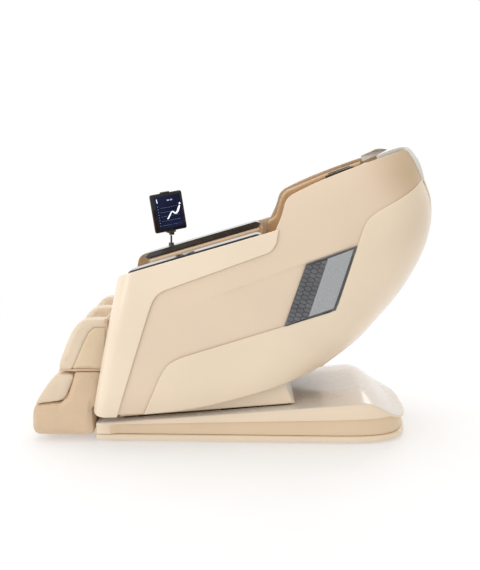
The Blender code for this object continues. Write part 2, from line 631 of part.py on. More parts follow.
def massage_unit():
    for side, sign in SIDES:
        low, high = sorted((sign * 0.186, sign * 0.206))
        outline = [back_point(0.04, 0.095), back_point(0.56, 0.095), back_point(0.56, 0.150),
                   back_point(0.04, 0.150)]
        track = extrude("track_" + side, outline, low, high, STEEL, TILT)
        low, high = sorted((sign * 0.180, sign * 0.200))
        groove = [back_point(0.03, 0.110), back_point(0.57, 0.110), back_point(0.57, 0.135),
                  back_point(0.03, 0.135)]
        boolean(track, extrude("track_groove_" + side, groove, low, high))
    outline = [back_point(0.08, 0.105), back_point(0.20, 0.105), back_point(0.20, 0.165),
               back_point(0.08, 0.165)]
    carriage = extrude("massage_carriage", outline, -0.180, 0.180, DARK_STEEL, TILT)
    window = [back_point(0.092, 0.06), back_point(0.188, 0.06), back_point(0.188, 0.20),
              back_point(0.092, 0.20)]
    cut = extrude("carriage_window", window, -0.150, 0.150)
    rollers = []
    for up in (0.100, 0.180):
        x, z = back_point(up, 0.1225)
        rollers.append(rod("guide_roller", (x, -0.197, z), (x, 0.197, z), 0.0100))
    union(carriage, *rollers)
    boolean(carriage, cut)
    x, z = back_point(0.140, 0.130)
    boolean(carriage, rod("knead_bore", (x, -0.170, z), (x, 0.170, z), 0.0092))
    turn = pivot("knead_pivot", x, 0, z)
    bpy.context.view_layer.update()
    shaft = rod("kneading_shaft", (x, -0.166, z), (x, 0.166, z), 0.0085, STEEL, turn)
    parts = []
    for sign in (-1, 1):
        hub = Vector((x, sign * 0.055, z))
        lean = Vector((0, sign * 0.006, 0))
        parts.append(rod("knead_hub", hub - lean * 2, hub + lean * 2, 0.022))
        for up in (-1, 1):
            head = hub + Vector((BACK_UP.x, 0, BACK_UP.z)) * 0.030 * up
            parts.append(rod("knead_head", head - lean * 3, head + lean * 3, 0.013))
    union(shaft, *parts)


# ---------------------------------------------------------------- seat, back and arms
BUCKET = ((-0.140, 0.000), (-0.075, 0.000), (-0.030, 0.010), (0.080, 0.026), (0.240, 0.030),
          (0.400, 0.030), (0.540, 0.028), (0.640, 0.026), (0.7245, 0.022))
BUCKET_DEPTH = 0.0616
WING_ROOM = 0.047            # what the wing's shell, lining and speaker take up


def bucket_ring(up, forward):
    """The back cushion's section at a height: flat in the middle, curving forward at the sides."""
    width = 0.310 if up > -0.05 else 0.235
    for out in (-forward, 0.0, BUCKET_DEPTH):
        x, z = back_point(up, out)
        width = min(width, half_width(x, z) - WING_ROOM)
    side = [(0.170, 0.0), (0.5 * (0.170 + width), -0.35 * forward), (width - 0.012, -forward),
            (width, 0.012 - forward), (width, 0.030), (width - 0.015, BUCKET_DEPTH)]
    half = [(0.0, 0.0)] + side + [(0.0, BUCKET_DEPTH)]
    ring = half + [(-y, out) for y, out in side[::-1]]
    return [Vector((back_point(up, out)[0], y, back_point(up, out)[1])) for y, out in ring]


def cushions():
    seat = rounded([(-0.350, 0.378, 0.015), (-0.350, 0.440, 0.020), (-0.325, 0.457, 0.020),
                    (0.085, 0.352, 0.020), (0.103, 0.330, 0.015), (0.090, 0.272, 0.015)])
    extrude("seat_cushion", seat, -0.244, 0.244, LEATHER, TILT)
    rings = [bucket_ring(up, forward) for up, forward in BUCKET]
    ring_solid("back_cushion", rings, LEATHER, TILT, flat_ends=True)
    low_front = Vector((0.416, 0.0, 0.902))
    pad = [(0.460, 0.874, 0.02), (0.570, 1.050, 0.02), (0.588, 1.102, 0.005),
           (0.580, 1.112, 0.004), (0.527, 1.080, 0.02), (low_front.x, low_front.z, 0.02)]
    extrude("head_pillow", rounded(pad), -0.165, 0.165, PALE_LEATHER, PILLOW)


def arms():
    for side, sign in SIDES:
        low, high = sorted((sign * 0.246, sign * 0.328))
        cap = [(-0.397, arm_line(-0.397) - 0.022, 0.010), (-0.397, arm_line(-0.397) + 0.008, 0.012),
               (0.100, arm_line(0.100) + 0.010, 0.008), (0.120, arm_line(0.120) - 0.010, 0.006),
               (0.104, arm_line(0.104) - 0.022, 0.006)]
        extrude("arm_cap_" + side, rounded(cap), low, high, GLOSS_BLACK, TILT, width=0.004)
        low, high = sorted((sign * 0.250, sign * 0.333))
        block = rounded([(-0.384, arm_line(-0.384) - 0.0235, 0.010),
                         (0.128, arm_line(0.128) - 0.0235, 0.010), (0.128, 0.330, 0.010),
                         (-0.345, 0.330, 0.010), (-0.345, 0.530, 0.02), (-0.384, 0.565, 0.02)])
        pad = extrude("arm_pad_" + side, block, low, high, LEATHER, TILT)
        channel = rounded([(-0.362, arm_line(-0.362) - 0.046, 0.02),
                           (0.100, arm_line(0.100) - 0.046, 0.02),
                           (0.100, arm_line(0.100) - 0.150, 0.03),
                           (-0.362, arm_line(-0.362) - 0.140, 0.03)])
        low, high = sorted((sign * 0.240, sign * 0.322))
        boolean(pad, extrude("arm_channel_" + side, channel, low, high))


# ---------------------------------------------------------------- leg rest
WALL_OUTER = 0.290
WALL_INNER = 0.228
DIVIDER = 0.036


def calf_unit():
    plate = extrude("calf_shell", rounded([(-0.485, 0.291, 0.004), (-0.485, 0.500, 0.004),
                                           (-0.497, 0.500, 0.004), (-0.497, 0.297, 0),
                                           (-0.680, 0.297, 0), (-0.680, 0.291, 0)]),
                    -0.288, 0.288, PLASTIC, LEG)
    extra = []
    for sign in (-1, 1):
        low_y, high_y = sorted((sign * 0.2345, sign * 0.2425))
        ear = rounded([(-0.490, 0.395, 0), (-0.455, 0.402, 0.015), (-0.442, 0.420, 0.015),
                       (-0.455, 0.438, 0.015), (-0.490, 0.446, 0)])
        extra.append(extrude("leg_ear", ear, low_y, high_y))
        low_y, high_y = sorted((LEG_MOTOR_Y + sign * 0.012, LEG_MOTOR_Y + sign * 0.018))
        lug = rounded([(-0.490, 0.310, 0), (-0.455, 0.318, 0.015), (-0.446, 0.335, 0.012),
                       (-0.455, 0.352, 0.015), (-0.490, 0.362, 0)])
        extra.append(extrude("rod_lug", lug, low_y, high_y))
        top = Vector((-0.556, sign * 0.259, 0.294))
        extra.append(rod("guide_rod", top, top + SLIDE * 0.215, 0.0070))
    union(plate, *extra)
    boolean(plate, rod("leg_bore", (LEG_AXIS[0], -0.3, LEG_AXIS[1]),
                       (LEG_AXIS[0], 0.3, LEG_AXIS[1]), 0.0092))
    wall = rounded([(-0.4975, 0.2975, 0), (-0.4975, 0.503, 0.006), (-0.572, 0.5035, 0.05),
                    (-0.618, 0.475, 0.06), (-0.6815, 0.333, 0.03), (-0.6895, 0.2975, 0.01)])
    for side, sign in SIDES:
        low, high = sorted((sign * WALL_INNER, sign * WALL_OUTER))
        extrude("calf_wall_" + side, wall, low, high, LEATHER, LEG, width=0.008)
        low, high = sorted((sign * (DIVIDER + 0.001), sign * (WALL_INNER - 0.001)))
        pad = rounded([(-0.4975, 0.2980, 0), (-0.4975, 0.480, 0.01), (-0.520, 0.480, 0.015),
                       (-0.575, 0.340, 0.03), (-0.590, 0.2980, 0)])
        extrude("calf_pad_" + side, pad, low, high, PALE_LEATHER, LEG)
    extrude("calf_divider", wall, -DIVIDER, DIVIDER, LEATHER, LEG, width=0.008)


def foot_wells(piece, name, floor):
    for side, sign in SIDES:
        low, high = sorted((sign * (DIVIDER + 0.004), sign * WALL_INNER))
        boolean(piece, box(name + side, (-0.86, low, floor), (-0.600, high, 0.32)))


def foot_unit():
    shell = rounded([(-0.5485, 0.024, 0.006), (-0.5485, 0.2605, 0), (-0.6235, 0.2605, 0.01),
                     (-0.6640, 0.1640, 0.02), (-0.7900, 0.1490, 0), (-0.7985, 0.115, 0.02),
                     (-0.8000, 0.040, 0.012), (-0.7850, 0.024, 0.012)])
    tray = extrude("foot_shell", shell, -WALL_OUTER, WALL_OUTER, LEATHER, FOOT)
    cuff = rounded([(-0.5485, 0.2612, 0), (-0.5485, 0.2800, 0.006), (-0.6920, 0.2830, 0.012),
                    (-0.7275, 0.2460, 0.02), (-0.7655, 0.1890, 0.02), (-0.7900, 0.1500, 0),
                    (-0.6652, 0.1652, 0.02), (-0.6245, 0.2612, 0.01)])
    collar = extrude("foot_cuff", cuff, -WALL_OUTER, WALL_OUTER, PALE_LEATHER, FOOT)
    foot_wells(tray, "sole_well_", 0.075)
    foot_wells(collar, "cuff_well_", 0.075)
    x, z = ROLLER_AXIS
    boolean(tray, rod("roller_bore", (x, -0.2385, z), (x, 0.2385, z), 0.0078))
    for side, sign in SIDES:
        ends = sorted((sign * 0.0405, sign * 0.2275))
        boolean(tray, rod("roller_groove_" + side, (x, ends[0], z), (x, ends[1], z), 0.026,
                          sides=24))
        top = Vector((-0.556, sign * 0.259, 0.294))
        for piece in (tray, collar):
            boolean(piece, rod("rod_bore_" + side, top - SLIDE * 0.02, top + SLIDE * 0.235, 0.0084))
    turn = pivot("roller_pivot", x, 0, z)
    bpy.context.view_layer.update()
    shaft = rod("foot_roller", (x, -0.2375, z), (x, 0.2375, z), 0.0070, STEEL, turn)
    discs = []
    for sign in (-1, 1):
        for y in (0.085, 0.175):
            discs.append(rod("roller_disc", (x, sign * (y - 0.014), z), (x, sign * (y + 0.014), z),
                             0.023, sides=14))
    union(shaft, *discs)


# ---------------------------------------------------------------- tablet
def tablet_unit():
    foot = arm_line(POST_AT.x) + 0.0122
    post = rod("tablet_post", POST_AT + Vector((0, 0, foot)), POST_AT + Vector((0, 0, 0.7690)),
               0.0045, GLOSS_BLACK, POST, sides=12)
    collar = rod("post_collar", POST_AT + Vector((0, 0, foot)), POST_AT + Vector((0, 0, foot + 0.006)),
                 0.012, sides=20)
    union(post, collar)
    place = (Matrix.Translation(TABLET_AT) @ Matrix.Rotation(TABLET_YAW, 4, "Z")
             @ Matrix.Rotation(TABLET_ROLL, 4, "Y"))
    pieces = (
        ("tablet_case", (-0.0745, -0.005, -0.087), (0.0745, 0.006, 0.087), PLASTIC, 0.003),
        ("tablet_screen", (-0.070, -0.0068, -0.0825), (0.070, -0.0053, 0.0825), SCREEN, 0.0),
        ("tablet_holder", (-0.022, 0.0064, -0.094), (0.022, 0.0120, 0.092), GLOSS_BLACK, 0.0))
    holder = None
    for name, low, high, paint, width in pieces:
        holder = box(name, low, high, paint, None, width)
        holder.data.transform(place)
        holder.parent = TABLET
        holder.matrix_parent_inverse = TABLET.matrix_world.inverted()
    clips = []
    for name, low, high in (("clip_low", (-0.020, -0.010, -0.0945), (0.020, 0.0110, -0.0876)),
                            ("clip_high", (-0.016, -0.010, 0.0876), (0.016, 0.0110, 0.0930)),
                            ("hinge_boss", (-0.012, -0.006, -0.1020), (0.012, 0.0090, -0.0915))):
        clip = box(name, low, high)
        clip.data.transform(place)
        clips.append(clip)
    union(holder, *clips)


base_pieces()
chassis()
for side_name, side_sign in SIDES:
    side_shells(side_name, side_sign)
back_shells()
seat_frame()
actuator("recline_motor", "recline_rod", RECLINE_BASE, RECLINE_LUG, 0.215, RECLINE_TUBE)
actuator("leg_motor", "leg_rod", LEG_MOTOR_BASE, LEG_LUG, 0.262, LEG_TUBE, LEG_MOTOR_Y)
massage_unit()
cushions()
arms()
calf_unit()
foot_unit()
tablet_unit()
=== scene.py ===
import math

import bmesh
import bpy
import numpy as np
from mathutils import Matrix, Vector


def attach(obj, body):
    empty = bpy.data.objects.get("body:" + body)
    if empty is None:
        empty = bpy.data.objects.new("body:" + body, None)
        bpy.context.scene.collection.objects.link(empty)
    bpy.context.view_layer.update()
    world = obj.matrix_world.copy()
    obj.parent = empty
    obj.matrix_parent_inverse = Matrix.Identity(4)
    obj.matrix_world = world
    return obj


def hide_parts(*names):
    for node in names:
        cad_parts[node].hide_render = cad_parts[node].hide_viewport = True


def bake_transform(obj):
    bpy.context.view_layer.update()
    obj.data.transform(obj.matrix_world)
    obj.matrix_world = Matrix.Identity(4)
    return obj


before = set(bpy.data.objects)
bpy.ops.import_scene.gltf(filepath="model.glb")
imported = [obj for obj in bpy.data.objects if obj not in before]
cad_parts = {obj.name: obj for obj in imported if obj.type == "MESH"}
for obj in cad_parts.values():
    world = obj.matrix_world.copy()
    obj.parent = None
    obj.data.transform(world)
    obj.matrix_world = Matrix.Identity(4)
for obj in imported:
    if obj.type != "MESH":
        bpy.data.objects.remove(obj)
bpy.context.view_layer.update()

SCENE = bpy.context.scene
SIDES = (("left", -1.0), ("right", 1.0))
for name in ("Cube", "Light", "Camera"):
    if name in bpy.data.objects:
        bpy.data.objects.remove(bpy.data.objects[name], do_unlink=True)

# ---------------------------------------------------------------- the capsule's form
HALF_WIDTH = 0.38            # widest point of the side shells
BACK_HALF = 0.1895           # half width of the back shell
SIDE_EDGE = 0.1912           # where the side shells' rear edges lie
ROUND_DEPTH = 0.25           # how far forward of the back the side becomes flat
ROUND_POWER = 2.5            # squareness of the plan rounding
FRONT_ROLL = 0.070           # how far the front edge turns inwards
FRONT_ROLL_RADIUS = 0.060
FRONT_LEAN = 0.205           # slope of the side shells' front edge
FRONT_FOOT = (-0.5455, 0.145)   # X, Z of a point on that front edge
CROWN_DROP = 0.030           # how much narrower the side is, CROWN_SPAN off its crown line
CROWN_SPAN = 0.30
CROWN_HEIGHT = 0.50          # of the crown line at X 0
CROWN_SLOPE = 0.24
ARM_REAR = (0.098, 0.831)    # X, Z of a point on the arm's top edge
ARM_SLOPE = 0.293            # rise of the arm's top edge per metre
RECESS = 0.0075              # the middle panel lies this far below its neighbours
SHELL_WALL = 0.0035
EDGE_RADIUS = 0.0022         # rounding along every cover's edge
BACK_FOOT = Vector((0.20, 0.0, 0.45))
BACK_UP = Vector((0.536, 0.0, 0.844))
BACK_OUT = Vector((0.844, 0.0, -0.536))


def smooth_line(keys, steps):
    """A Catmull-Rom line through the keys."""
    keys = np.array(keys, float)
    ends = np.vstack([2 * keys[0] - keys[1], keys, 2 * keys[-1] - keys[-2]])
    line = []
    for index in range(len(keys) - 1):
        a, b, c, d = ends[index:index + 4]
        for step in range(steps):
            t = step / steps
            line.append(0.5 * ((2 * b) + (c - a) * t + (2 * a - 5 * b + 4 * c - d) * t * t
                               + (3 * b - a - 3 * c + d) * t ** 3))
    line.append(keys[-1])
    return np.array(line)


BACK_LINE = smooth_line([(0.700, 1.230), (0.738, 1.130), (0.766, 1.048), (0.794, 0.968),
                         (0.800, 0.885), (0.787, 0.802), (0.758, 0.720), (0.716, 0.638),
                         (0.662, 0.556), (0.587, 0.465), (0.511, 0.380), (0.415, 0.302),
                         (0.350, 0.251), (0.285, 0.185), (0.190, 0.110), (0.000, 0.045),
                         (-0.300, 0.000), (-0.600, -0.05)], 6)


def line_distance(points, line):
    """Distance of each point (… x 2) from a polyline."""
    nearest = np.full(points.shape[:-1], 9.0)
    for a, b in zip(line[:-1], line[1:]):
        span = b - a
        t = np.clip(((points - a) @ span) / max(span @ span, 1e-12), 0, 1)
        nearest = np.minimum(nearest, np.linalg.norm(a + span * t[..., None] - points, axis=-1))
    return nearest


def half_width(x, z):
    """Half the capsule's width at a place on its side."""
    depth = line_distance(np.stack([x, z], -1), BACK_LINE)
    near = 1.0 - np.minimum(depth, ROUND_DEPTH) / ROUND_DEPTH
    plan = (1.0 - near ** ROUND_POWER) ** (1.0 / ROUND_POWER)
    off_crown = np.abs(z - (CROWN_HEIGHT + CROWN_SLOPE * x)) / CROWN_SPAN
    crown = CROWN_DROP * off_crown ** 2.5
    ahead = (x - FRONT_FOOT[0]) - (z - FRONT_FOOT[1]) * FRONT_LEAN
    lead = 1.0 - np.clip(ahead, 0.0, FRONT_ROLL_RADIUS) / FRONT_ROLL_RADIUS
    return (HALF_WIDTH - crown) * plan - FRONT_ROLL * (1.0 - np.sqrt(1.0 - lead * lead))


def width_at(x, z):
    return float(half_width(np.array(x), np.array(z)))


def edge_inset(y):
    """How far the rounded back lies inside its own centre line at a distance y."""
    return ROUND_DEPTH * (1 - (1 - (np.abs(y) / HALF_WIDTH) ** ROUND_POWER) ** (1 / ROUND_POWER))


def across_line(line):
    """The inward direction at each point of a line that runs from top to bottom."""
    ahead = np.gradient(line, axis=0)
    inward = np.stack([ahead[:, 1], -ahead[:, 0]], 1)
    return inward / np.linalg.norm(inward, axis=1)[:, None]


REAR_EDGE = BACK_LINE + across_line(BACK_LINE) * edge_inset(SIDE_EDGE)


def rear_edge(z):
    """X of the side shells' rear edge at a height."""
    return np.interp(z, REAR_EDGE[::-1, 1], REAR_EDGE[::-1, 0])


def arm_line(x):
    """Height of the arm's top edge."""
    return ARM_REAR[1] + ARM_SLOPE * (x - ARM_REAR[0])


def back_point(up, out):
    """X, Z of a place up the backrest and out behind its face."""
    place = BACK_FOOT + BACK_UP * up + BACK_OUT * out
    return (place.x, place.z)


# ---------------------------------------------------------------- materials
def shade(colour, factor):
    return tuple(min(1.0, channel * factor) for channel in colour)


def grey(value):
    return (value, value, value)


class Tree:
    """The node tree of a material or a world."""

    def __init__(self, owner):
        owner.use_nodes = True
        self.owner = owner
        self.nodes, self.links = owner.node_tree.nodes, owner.node_tree.links

    def node(self, kind, **values):
        """A new node; values are its inputs' settings, with _ for the spaces in their names."""
        made = self.nodes.new("ShaderNode" + kind)
        for name, value in values.items():
            made.inputs[name.replace("_", " ")].default_value = value
        return made

    def noise(self, scale, detail=3.0):
        """The value of a noise over the object's own coordinates."""
        made = self.node("TexNoise", Scale=scale, Detail=detail)
        self.links.new(self.node("TexCoord").outputs["Object"], made.inputs["Vector"])
        return made.outputs["Fac"]

    def ramp(self, source, low, first, high, second):
        """Turns a value into a colour: the first up to low, the second from high on."""
        made = self.node("ValToRGB")
        for element, place, colour in zip(made.color_ramp.elements, (low, high), (first, second)):
            element.position = place
            element.color = (*colour, 1.0)
        self.links.new(source, made.inputs["Fac"])
        return made.outputs["Color"]

    def remap(self, source, low, high):
        made = self.node("MapRange", To_Min=low, To_Max=high)
        self.links.new(source, made.inputs["Value"])
        return made.outputs["Result"]

    def mixed(self, amount, first, second, blend="MIX"):
        """A colour mix; amount is a socket or a number, first and second sockets or colours."""
        made = self.node("Mix")
        made.data_type = "RGBA"
        made.blend_type = blend
        for name, value in (("Factor", amount), ("A", first), ("B", second)):
            if hasattr(value, "is_linked"):
                self.links.new(value, made.inputs[name])
            else:
                made.inputs[name].default_value = (*value, 1.0) if name != "Factor" else value
        return made.outputs["Result"]

    def attribute(self, name):
        """The values that a mesh carries under a name."""
        made = self.node("Attribute")
        made.attribute_name = name
        return made.outputs["Fac"]


class Finish(Tree):
    """A surface material that is built up from its Principled shader."""

    def __init__(self, name, roughness, metallic=0.0, coat=0.0, coat_roughness=0.1, sheen=0.0):
        super().__init__(bpy.data.materials.new(name))
        self.surface = self.nodes["Principled BSDF"]
        for socket, value in (("Metallic", metallic), ("Roughness", roughness),
                              ("Coat Weight", coat), ("Coat Roughness", coat_roughness),
                              ("Sheen Weight", sheen)):
            self.surface.inputs[socket].default_value = value

    def coloured(self, tint, *sockets):
        for name in ("Base Color", *sockets):
            self.links.new(tint, self.surface.inputs[name])

    def dulled(self, source, low, high):
        """Roughness that follows a value."""
        self.links.new(self.remap(source, low, high), self.surface.inputs["Roughness"])

    def glowing(self, tint, strength):
        self.coloured(tint, "Emission Color")
        self.surface.inputs["Emission Strength"].default_value = strength
        return self.owner

    def bumped(self, height, strength, distance):
        made = self.node("Bump", Strength=strength, Distance=distance)
        self.links.new(height, made.inputs["Height"])
        self.links.new(made.outputs["Normal"], self.surface.inputs["Normal"])
        return self.owner


def lacquer(name, colour, roughness=0.30, coat=0.35, painted_shade=None):
    """Pearl lacquer on moulded plastic: fine flakes, faint orange peel, edges rubbed lighter.

    Where the mesh's own painted_shade values say so, it turns to a darker colour that stands for
    shade: painted shade.
    """
    paint = Finish(name, roughness, coat=coat, coat_roughness=0.12)
    tint = paint.ramp(paint.noise(3.0), 0.30, shade(colour, 0.97), 0.70, shade(colour, 1.02))
    # Painted shade: mix towards the darker colour where the mesh's mask says so.
    if painted_shade:
        tint = paint.mixed(paint.attribute("painted_shade"), tint, painted_shade)
    sparkle = paint.ramp(paint.noise(1400.0, 1.0), 0.35, grey(0.47), 0.70, grey(0.53))
    tint = paint.mixed(0.35, tint, sparkle, "OVERLAY")
    edge = paint.ramp(paint.node("NewGeometry").outputs["Pointiness"], 0.52, grey(0.0),
                      0.60, grey(0.25))
    paint.coloured(paint.mixed(edge, tint, shade(colour, 1.12)))
    paint.dulled(paint.noise(9.0, 4.0), roughness - 0.05, roughness + 0.07)
    return paint.bumped(paint.noise(260.0, 2.0), 0.10, 0.0002)


def leather(name, tan, pale=None):
    """Upholstery leather: pebbled grain, darker pores and seams, slow colour drift.

    With a pale colour, the mesh's "pale" attribute says where that colour lies.
    """
    hide = Finish(name, 0.48, coat=0.10, coat_roughness=0.35, sheen=0.08)
    hide.surface.inputs["Specular IOR Level"].default_value = 0.42
    wobble = hide.noise(90.0, 2.0).node.outputs["Color"]
    bent = hide.node("MixRGB", Fac=0.012)
    hide.links.new(hide.node("TexCoord").outputs["Object"], bent.inputs["Color1"])
    hide.links.new(wobble, bent.inputs["Color2"])
    grain = hide.node("TexVoronoi", Scale=420.0)
    grain.feature = "DISTANCE_TO_EDGE"
    hide.links.new(bent.outputs["Color"], grain.inputs["Vector"])
    pore = hide.ramp(grain.outputs["Distance"], 0.0, grey(0.88), 0.18, grey(1.0))
    drift = hide.noise(7.0, 4.0)
    tone = hide.ramp(drift, 0.25, (0.94, 0.935, 0.93), 0.75, grey(1.05))
    seam = hide.ramp(hide.attribute("seam"), 0.15, grey(1.0), 0.95, (0.56, 0.50, 0.45))
    colour = tan
    if pale:
        zone = hide.ramp(hide.attribute("pale"), 0.46, grey(0.0), 0.54, grey(1.0))
        colour = hide.mixed(zone, tan, pale)
    for layer in (tone, pore, seam):
        colour = hide.mixed(1.0, colour, layer, "MULTIPLY")
    hide.coloured(colour)
    hide.dulled(drift, 0.40, 0.58)
    return hide.bumped(hide.mixed(0.25, pore, wobble), 0.35, 0.0006)


def plastic(name, colour, roughness, grain=700.0, depth=0.15, coat=0.0, coat_roughness=0.05):
    """Moulded plastic or rubber with a fine spark-eroded texture and a little dust."""
    skin = Finish(name, roughness, coat=coat, coat_roughness=coat_roughness)
    dust = skin.noise(30.0, 6.0)
    skin.coloured(skin.ramp(dust, 0.35, shade(colour, 0.85), 0.75, shade(colour, 1.25)))
    skin.dulled(dust, roughness * 0.85, min(1, roughness * 1.2))
    return skin.bumped(skin.noise(grain, 2.0), depth, 0.0002)


def metal(name, colour, roughness, brushed=True):
    """Turned or powder-coated steel."""
    steel = Finish(name, roughness, metallic=1.0 if brushed else 0.0)
    stretch = steel.node("Mapping", Scale=(900, 12, 900) if brushed else (320, 320, 320))
    grain = steel.node("TexNoise", Scale=1.0, Detail=4.0)
    steel.links.new(steel.node("TexCoord").outputs["Object"], stretch.inputs["Vector"])
    steel.links.new(stretch.outputs["Vector"], grain.inputs["Vector"])
    lines = grain.outputs["Fac"]
    steel.coloured(steel.ramp(lines, 0.3, shade(colour, 0.80), 0.7, shade(colour, 1.15)))
    steel.dulled(lines, roughness * 0.8, roughness * 1.25)
    return steel.bumped(lines, 0.20, 0.0003)


def display(name):
    """A lit tablet screen: deep blue that drifts, a faint pixel grid, under polished glass."""
    face = Finish(name, 0.15)
    face.surface.inputs["Specular IOR Level"].default_value = 0.10
    face.glowing(face.ramp(face.noise(9.0, 2.0), 0.30, (0.004, 0.006, 0.018),
                           0.70, (0.008, 0.011, 0.036)), 0.9)
    return face.bumped(face.noise(1500.0, 0.0), 0.03, 0.0001)


def lit(name, colour, strength):
    """A lit mark on the screen."""
    mark = Finish(name, 0.3)
    return mark.glowing(mark.ramp(mark.noise(60.0, 1.0), 0.3, shade(colour, 0.9), 0.7, colour),
                        strength)


CHAMPAGNE = lacquer("champagne_lacquer", (0.845, 0.700, 0.530))
CREAM = lacquer("cream_lacquer", (0.880, 0.740, 0.570))
# The rose lacquer darkens to brown towards the wing's rear top: painted shade.
ROSE = lacquer("rose_lacquer", (0.800, 0.640, 0.485), 0.33, painted_shade=(0.580, 0.420, 0.250))
PEARL = lacquer("pearl_lacquer", (0.84, 0.82, 0.78), 0.24, 0.5)
BASE_PAINT = lacquer("base_lacquer", (0.860, 0.710, 0.530), 0.30)
# The deck's top: the base's champagne shifted towards grey-white, which stands for the reflection of
# the white surroundings (painted reflection).
DECK_REFLECTION_PAINT = lacquer("deck_lacquer", (0.780, 0.700, 0.610), 0.26, 0.5)
# The groove's paint is the base lacquer made darker and warmer: painted shade, on top of the real
# shade its recess casts.
GROOVE_SHADE_PAINT = lacquer("groove_lacquer", (0.790, 0.610, 0.420), 0.40, 0.15)
TAN = leather("tan_leather", (0.660, 0.455, 0.265))
PALE = leather("pale_leather", (0.760, 0.600, 0.420))
TWO_TONE = leather("two_tone_leather", (0.780, 0.610, 0.420), (0.790, 0.650, 0.490))
SHOE_TAN = leather("shoe_leather", (0.730, 0.545, 0.365))
SHOE_PALE = leather("cuff_leather", (0.800, 0.660, 0.495))
GLOSS_BLACK = plastic("gloss_black", (0.034, 0.034, 0.033), 0.20, 300.0, 0.03, 0.7, 0.04)
MESH_GREY = plastic("speaker_mesh", (0.122, 0.124, 0.134), 0.45)
# Near-black for the sheet that shows between the grille's cell pads: painted shade for the grille's
# recessed cells.
GRILLE_HOLLOW_SHADE = plastic("speaker_hollow", (0.016, 0.016, 0.018), 0.70)
FRAME_GREY = plastic("speaker_frame", (0.075, 0.076, 0.078), 0.42)
RIM_GREY = plastic("speaker_rim", (0.130, 0.132, 0.135), 0.35, 300.0, 0.05)
PLATE_GREY = metal("name_plate", (0.385, 0.395, 0.410), 0.42, False)
BLACK = plastic("black_plastic", (0.030, 0.030, 0.031), 0.50)
RUBBER = plastic("rubber", (0.018, 0.018, 0.018), 0.80, 450.0, 0.3)
STEEL = metal("turned_steel", (0.42, 0.42, 0.43), 0.32)
POWDER = metal("powder_coat", (0.040, 0.040, 0.043), 0.55, False)
# Warm brown for the black steel frames, so the gaps under the shells read as brown shade: painted
# shade.
FRAME_GAP_SHADE = metal("warm_powder_coat", (0.270, 0.180, 0.110), 0.55, False)
SCREEN = display("tablet_display")
GLASS = plastic("tablet_glass", (0.008, 0.008, 0.009), 0.12, 300.0, 0.02)
ICON = lit("screen_icon", (0.80, 0.88, 1.0), 0.85)
FAINT = lit("screen_marks", (0.30, 0.36, 0.55), 0.6)


# ---------------------------------------------------------------- building helpers
def smoothed(mesh, angle):
    """The mesh shaded smooth, but for its edges sharper than an angle in degrees."""
    mesh.shade_smooth()
    mesh.set_sharp_from_angle(angle=math.radians(angle))
    return mesh


def piece(name, mesh, paints, body, slot, *nodes):
    """A finished piece on its body, standing for its CAD nodes."""
    made = bpy.data.objects.new(name, mesh)
    SCENE.collection.objects.link(made)
    mesh.materials.clear()
    for paint in (paints if isinstance(paints, tuple) else (paints,)):
        mesh.materials.append(paint)
    if body:
        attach(made, body)
    if nodes:
        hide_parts(*nodes)
    return made


def cushion(name, mesh, paints, body, slot, fill, *nodes):
    """A padded piece; one with no body is left unattached for its caller."""
    made = piece(name, mesh, paints, body, slot, *nodes)
    return made


def applied(mesh, *modifiers):
    """The mesh with modifiers applied; each is (kind, {setting: value})."""
    holder = bpy.data.objects.new("holder", mesh)
    SCENE.collection.objects.link(holder)
    for index, (kind, settings) in enumerate(modifiers):
        change = holder.modifiers.new("change_%d" % index, kind)
        for key, value in settings.items():
            setattr(change, key, value)
    graph = bpy.context.evaluated_depsgraph_get()
    made = bpy.data.meshes.new_from_object(holder.evaluated_get(graph))
    bpy.data.objects.remove(holder, do_unlink=True)
    return made


def bevelled(mesh, width, segments, angle=40):
    """The mesh with its sharp edges rounded, shaded smooth."""
    made = applied(mesh, ("BEVEL", {"width": width, "segments": segments,
                                    "limit_method": "ANGLE", "angle_limit": math.radians(50)}))
    return smoothed(made, angle)


def bm_mesh(name, bm):
    """The mesh of a closed shape, with its faces pointing out."""
    bmesh.ops.recalc_face_normals(bm, faces=bm.faces)
    if bm.calc_volume(signed=True) < 0:
        bmesh.ops.reverse_faces(bm, faces=bm.faces)
    mesh = bpy.data.meshes.new(name)
    bm.to_mesh(mesh)
    bm.free()
    return mesh


def cut(mesh, *cutters):
    """The mesh less each cutter mesh."""
    objects = []
    for cutter in cutters:
        tool = bpy.data.objects.new("cutter", cutter)
        SCENE.collection.objects.link(tool)
        objects.append(tool)
    made = applied(mesh, *[("BOOLEAN", {"object": tool, "operation": "DIFFERENCE",
                                        "solver": "EXACT"}) for tool in objects])
    for tool in objects:
        bpy.data.objects.remove(tool, do_unlink=True)
    return made


def block(low, high, radius=0.0, segments=3):
    """A box mesh with rounded edges."""
    bm = bmesh.new()
    bmesh.ops.create_cube(bm, size=1.0)
    bmesh.ops.scale(bm, vec=[h - l for l, h in zip(low, high)], verts=bm.verts)
    bmesh.ops.translate(bm, vec=[(h + l) / 2 for l, h in zip(low, high)], verts=bm.verts)
    if radius:
        bmesh.ops.bevel(bm, geom=bm.edges[:], offset=radius, segments=segments,
                        profile=0.5, affect="EDGES")
    return bm_mesh("block", bm)


def corner_arc(corner, before, after, radius, steps):
    """Points round a corner, from one side of it to the other."""
    here, before, after = (Vector(place[:2]) for place in (corner, before, after))
    first, last = (here + side.normalized() * min(radius, 0.45 * side.length)
                   for side in (before - here, after - here))
    return [first.lerp(here, k / steps).lerp(here.lerp(last, k / steps), k / steps)
            for k in range(steps + 1)]


def rounded(corners, steps=5):
    """The closed outline of (a, b, radius) corners, each turned into an arc."""
    outline = []
    for corner, before, after in zip(corners, corners[-1:] + corners, corners[1:] + corners):
        if corner[2] > 0:
            outline += [tuple(point)
                        for point in corner_arc(corner, before, after, corner[2], steps)]
        else:
            outline.append(corner[:2])
    return outline


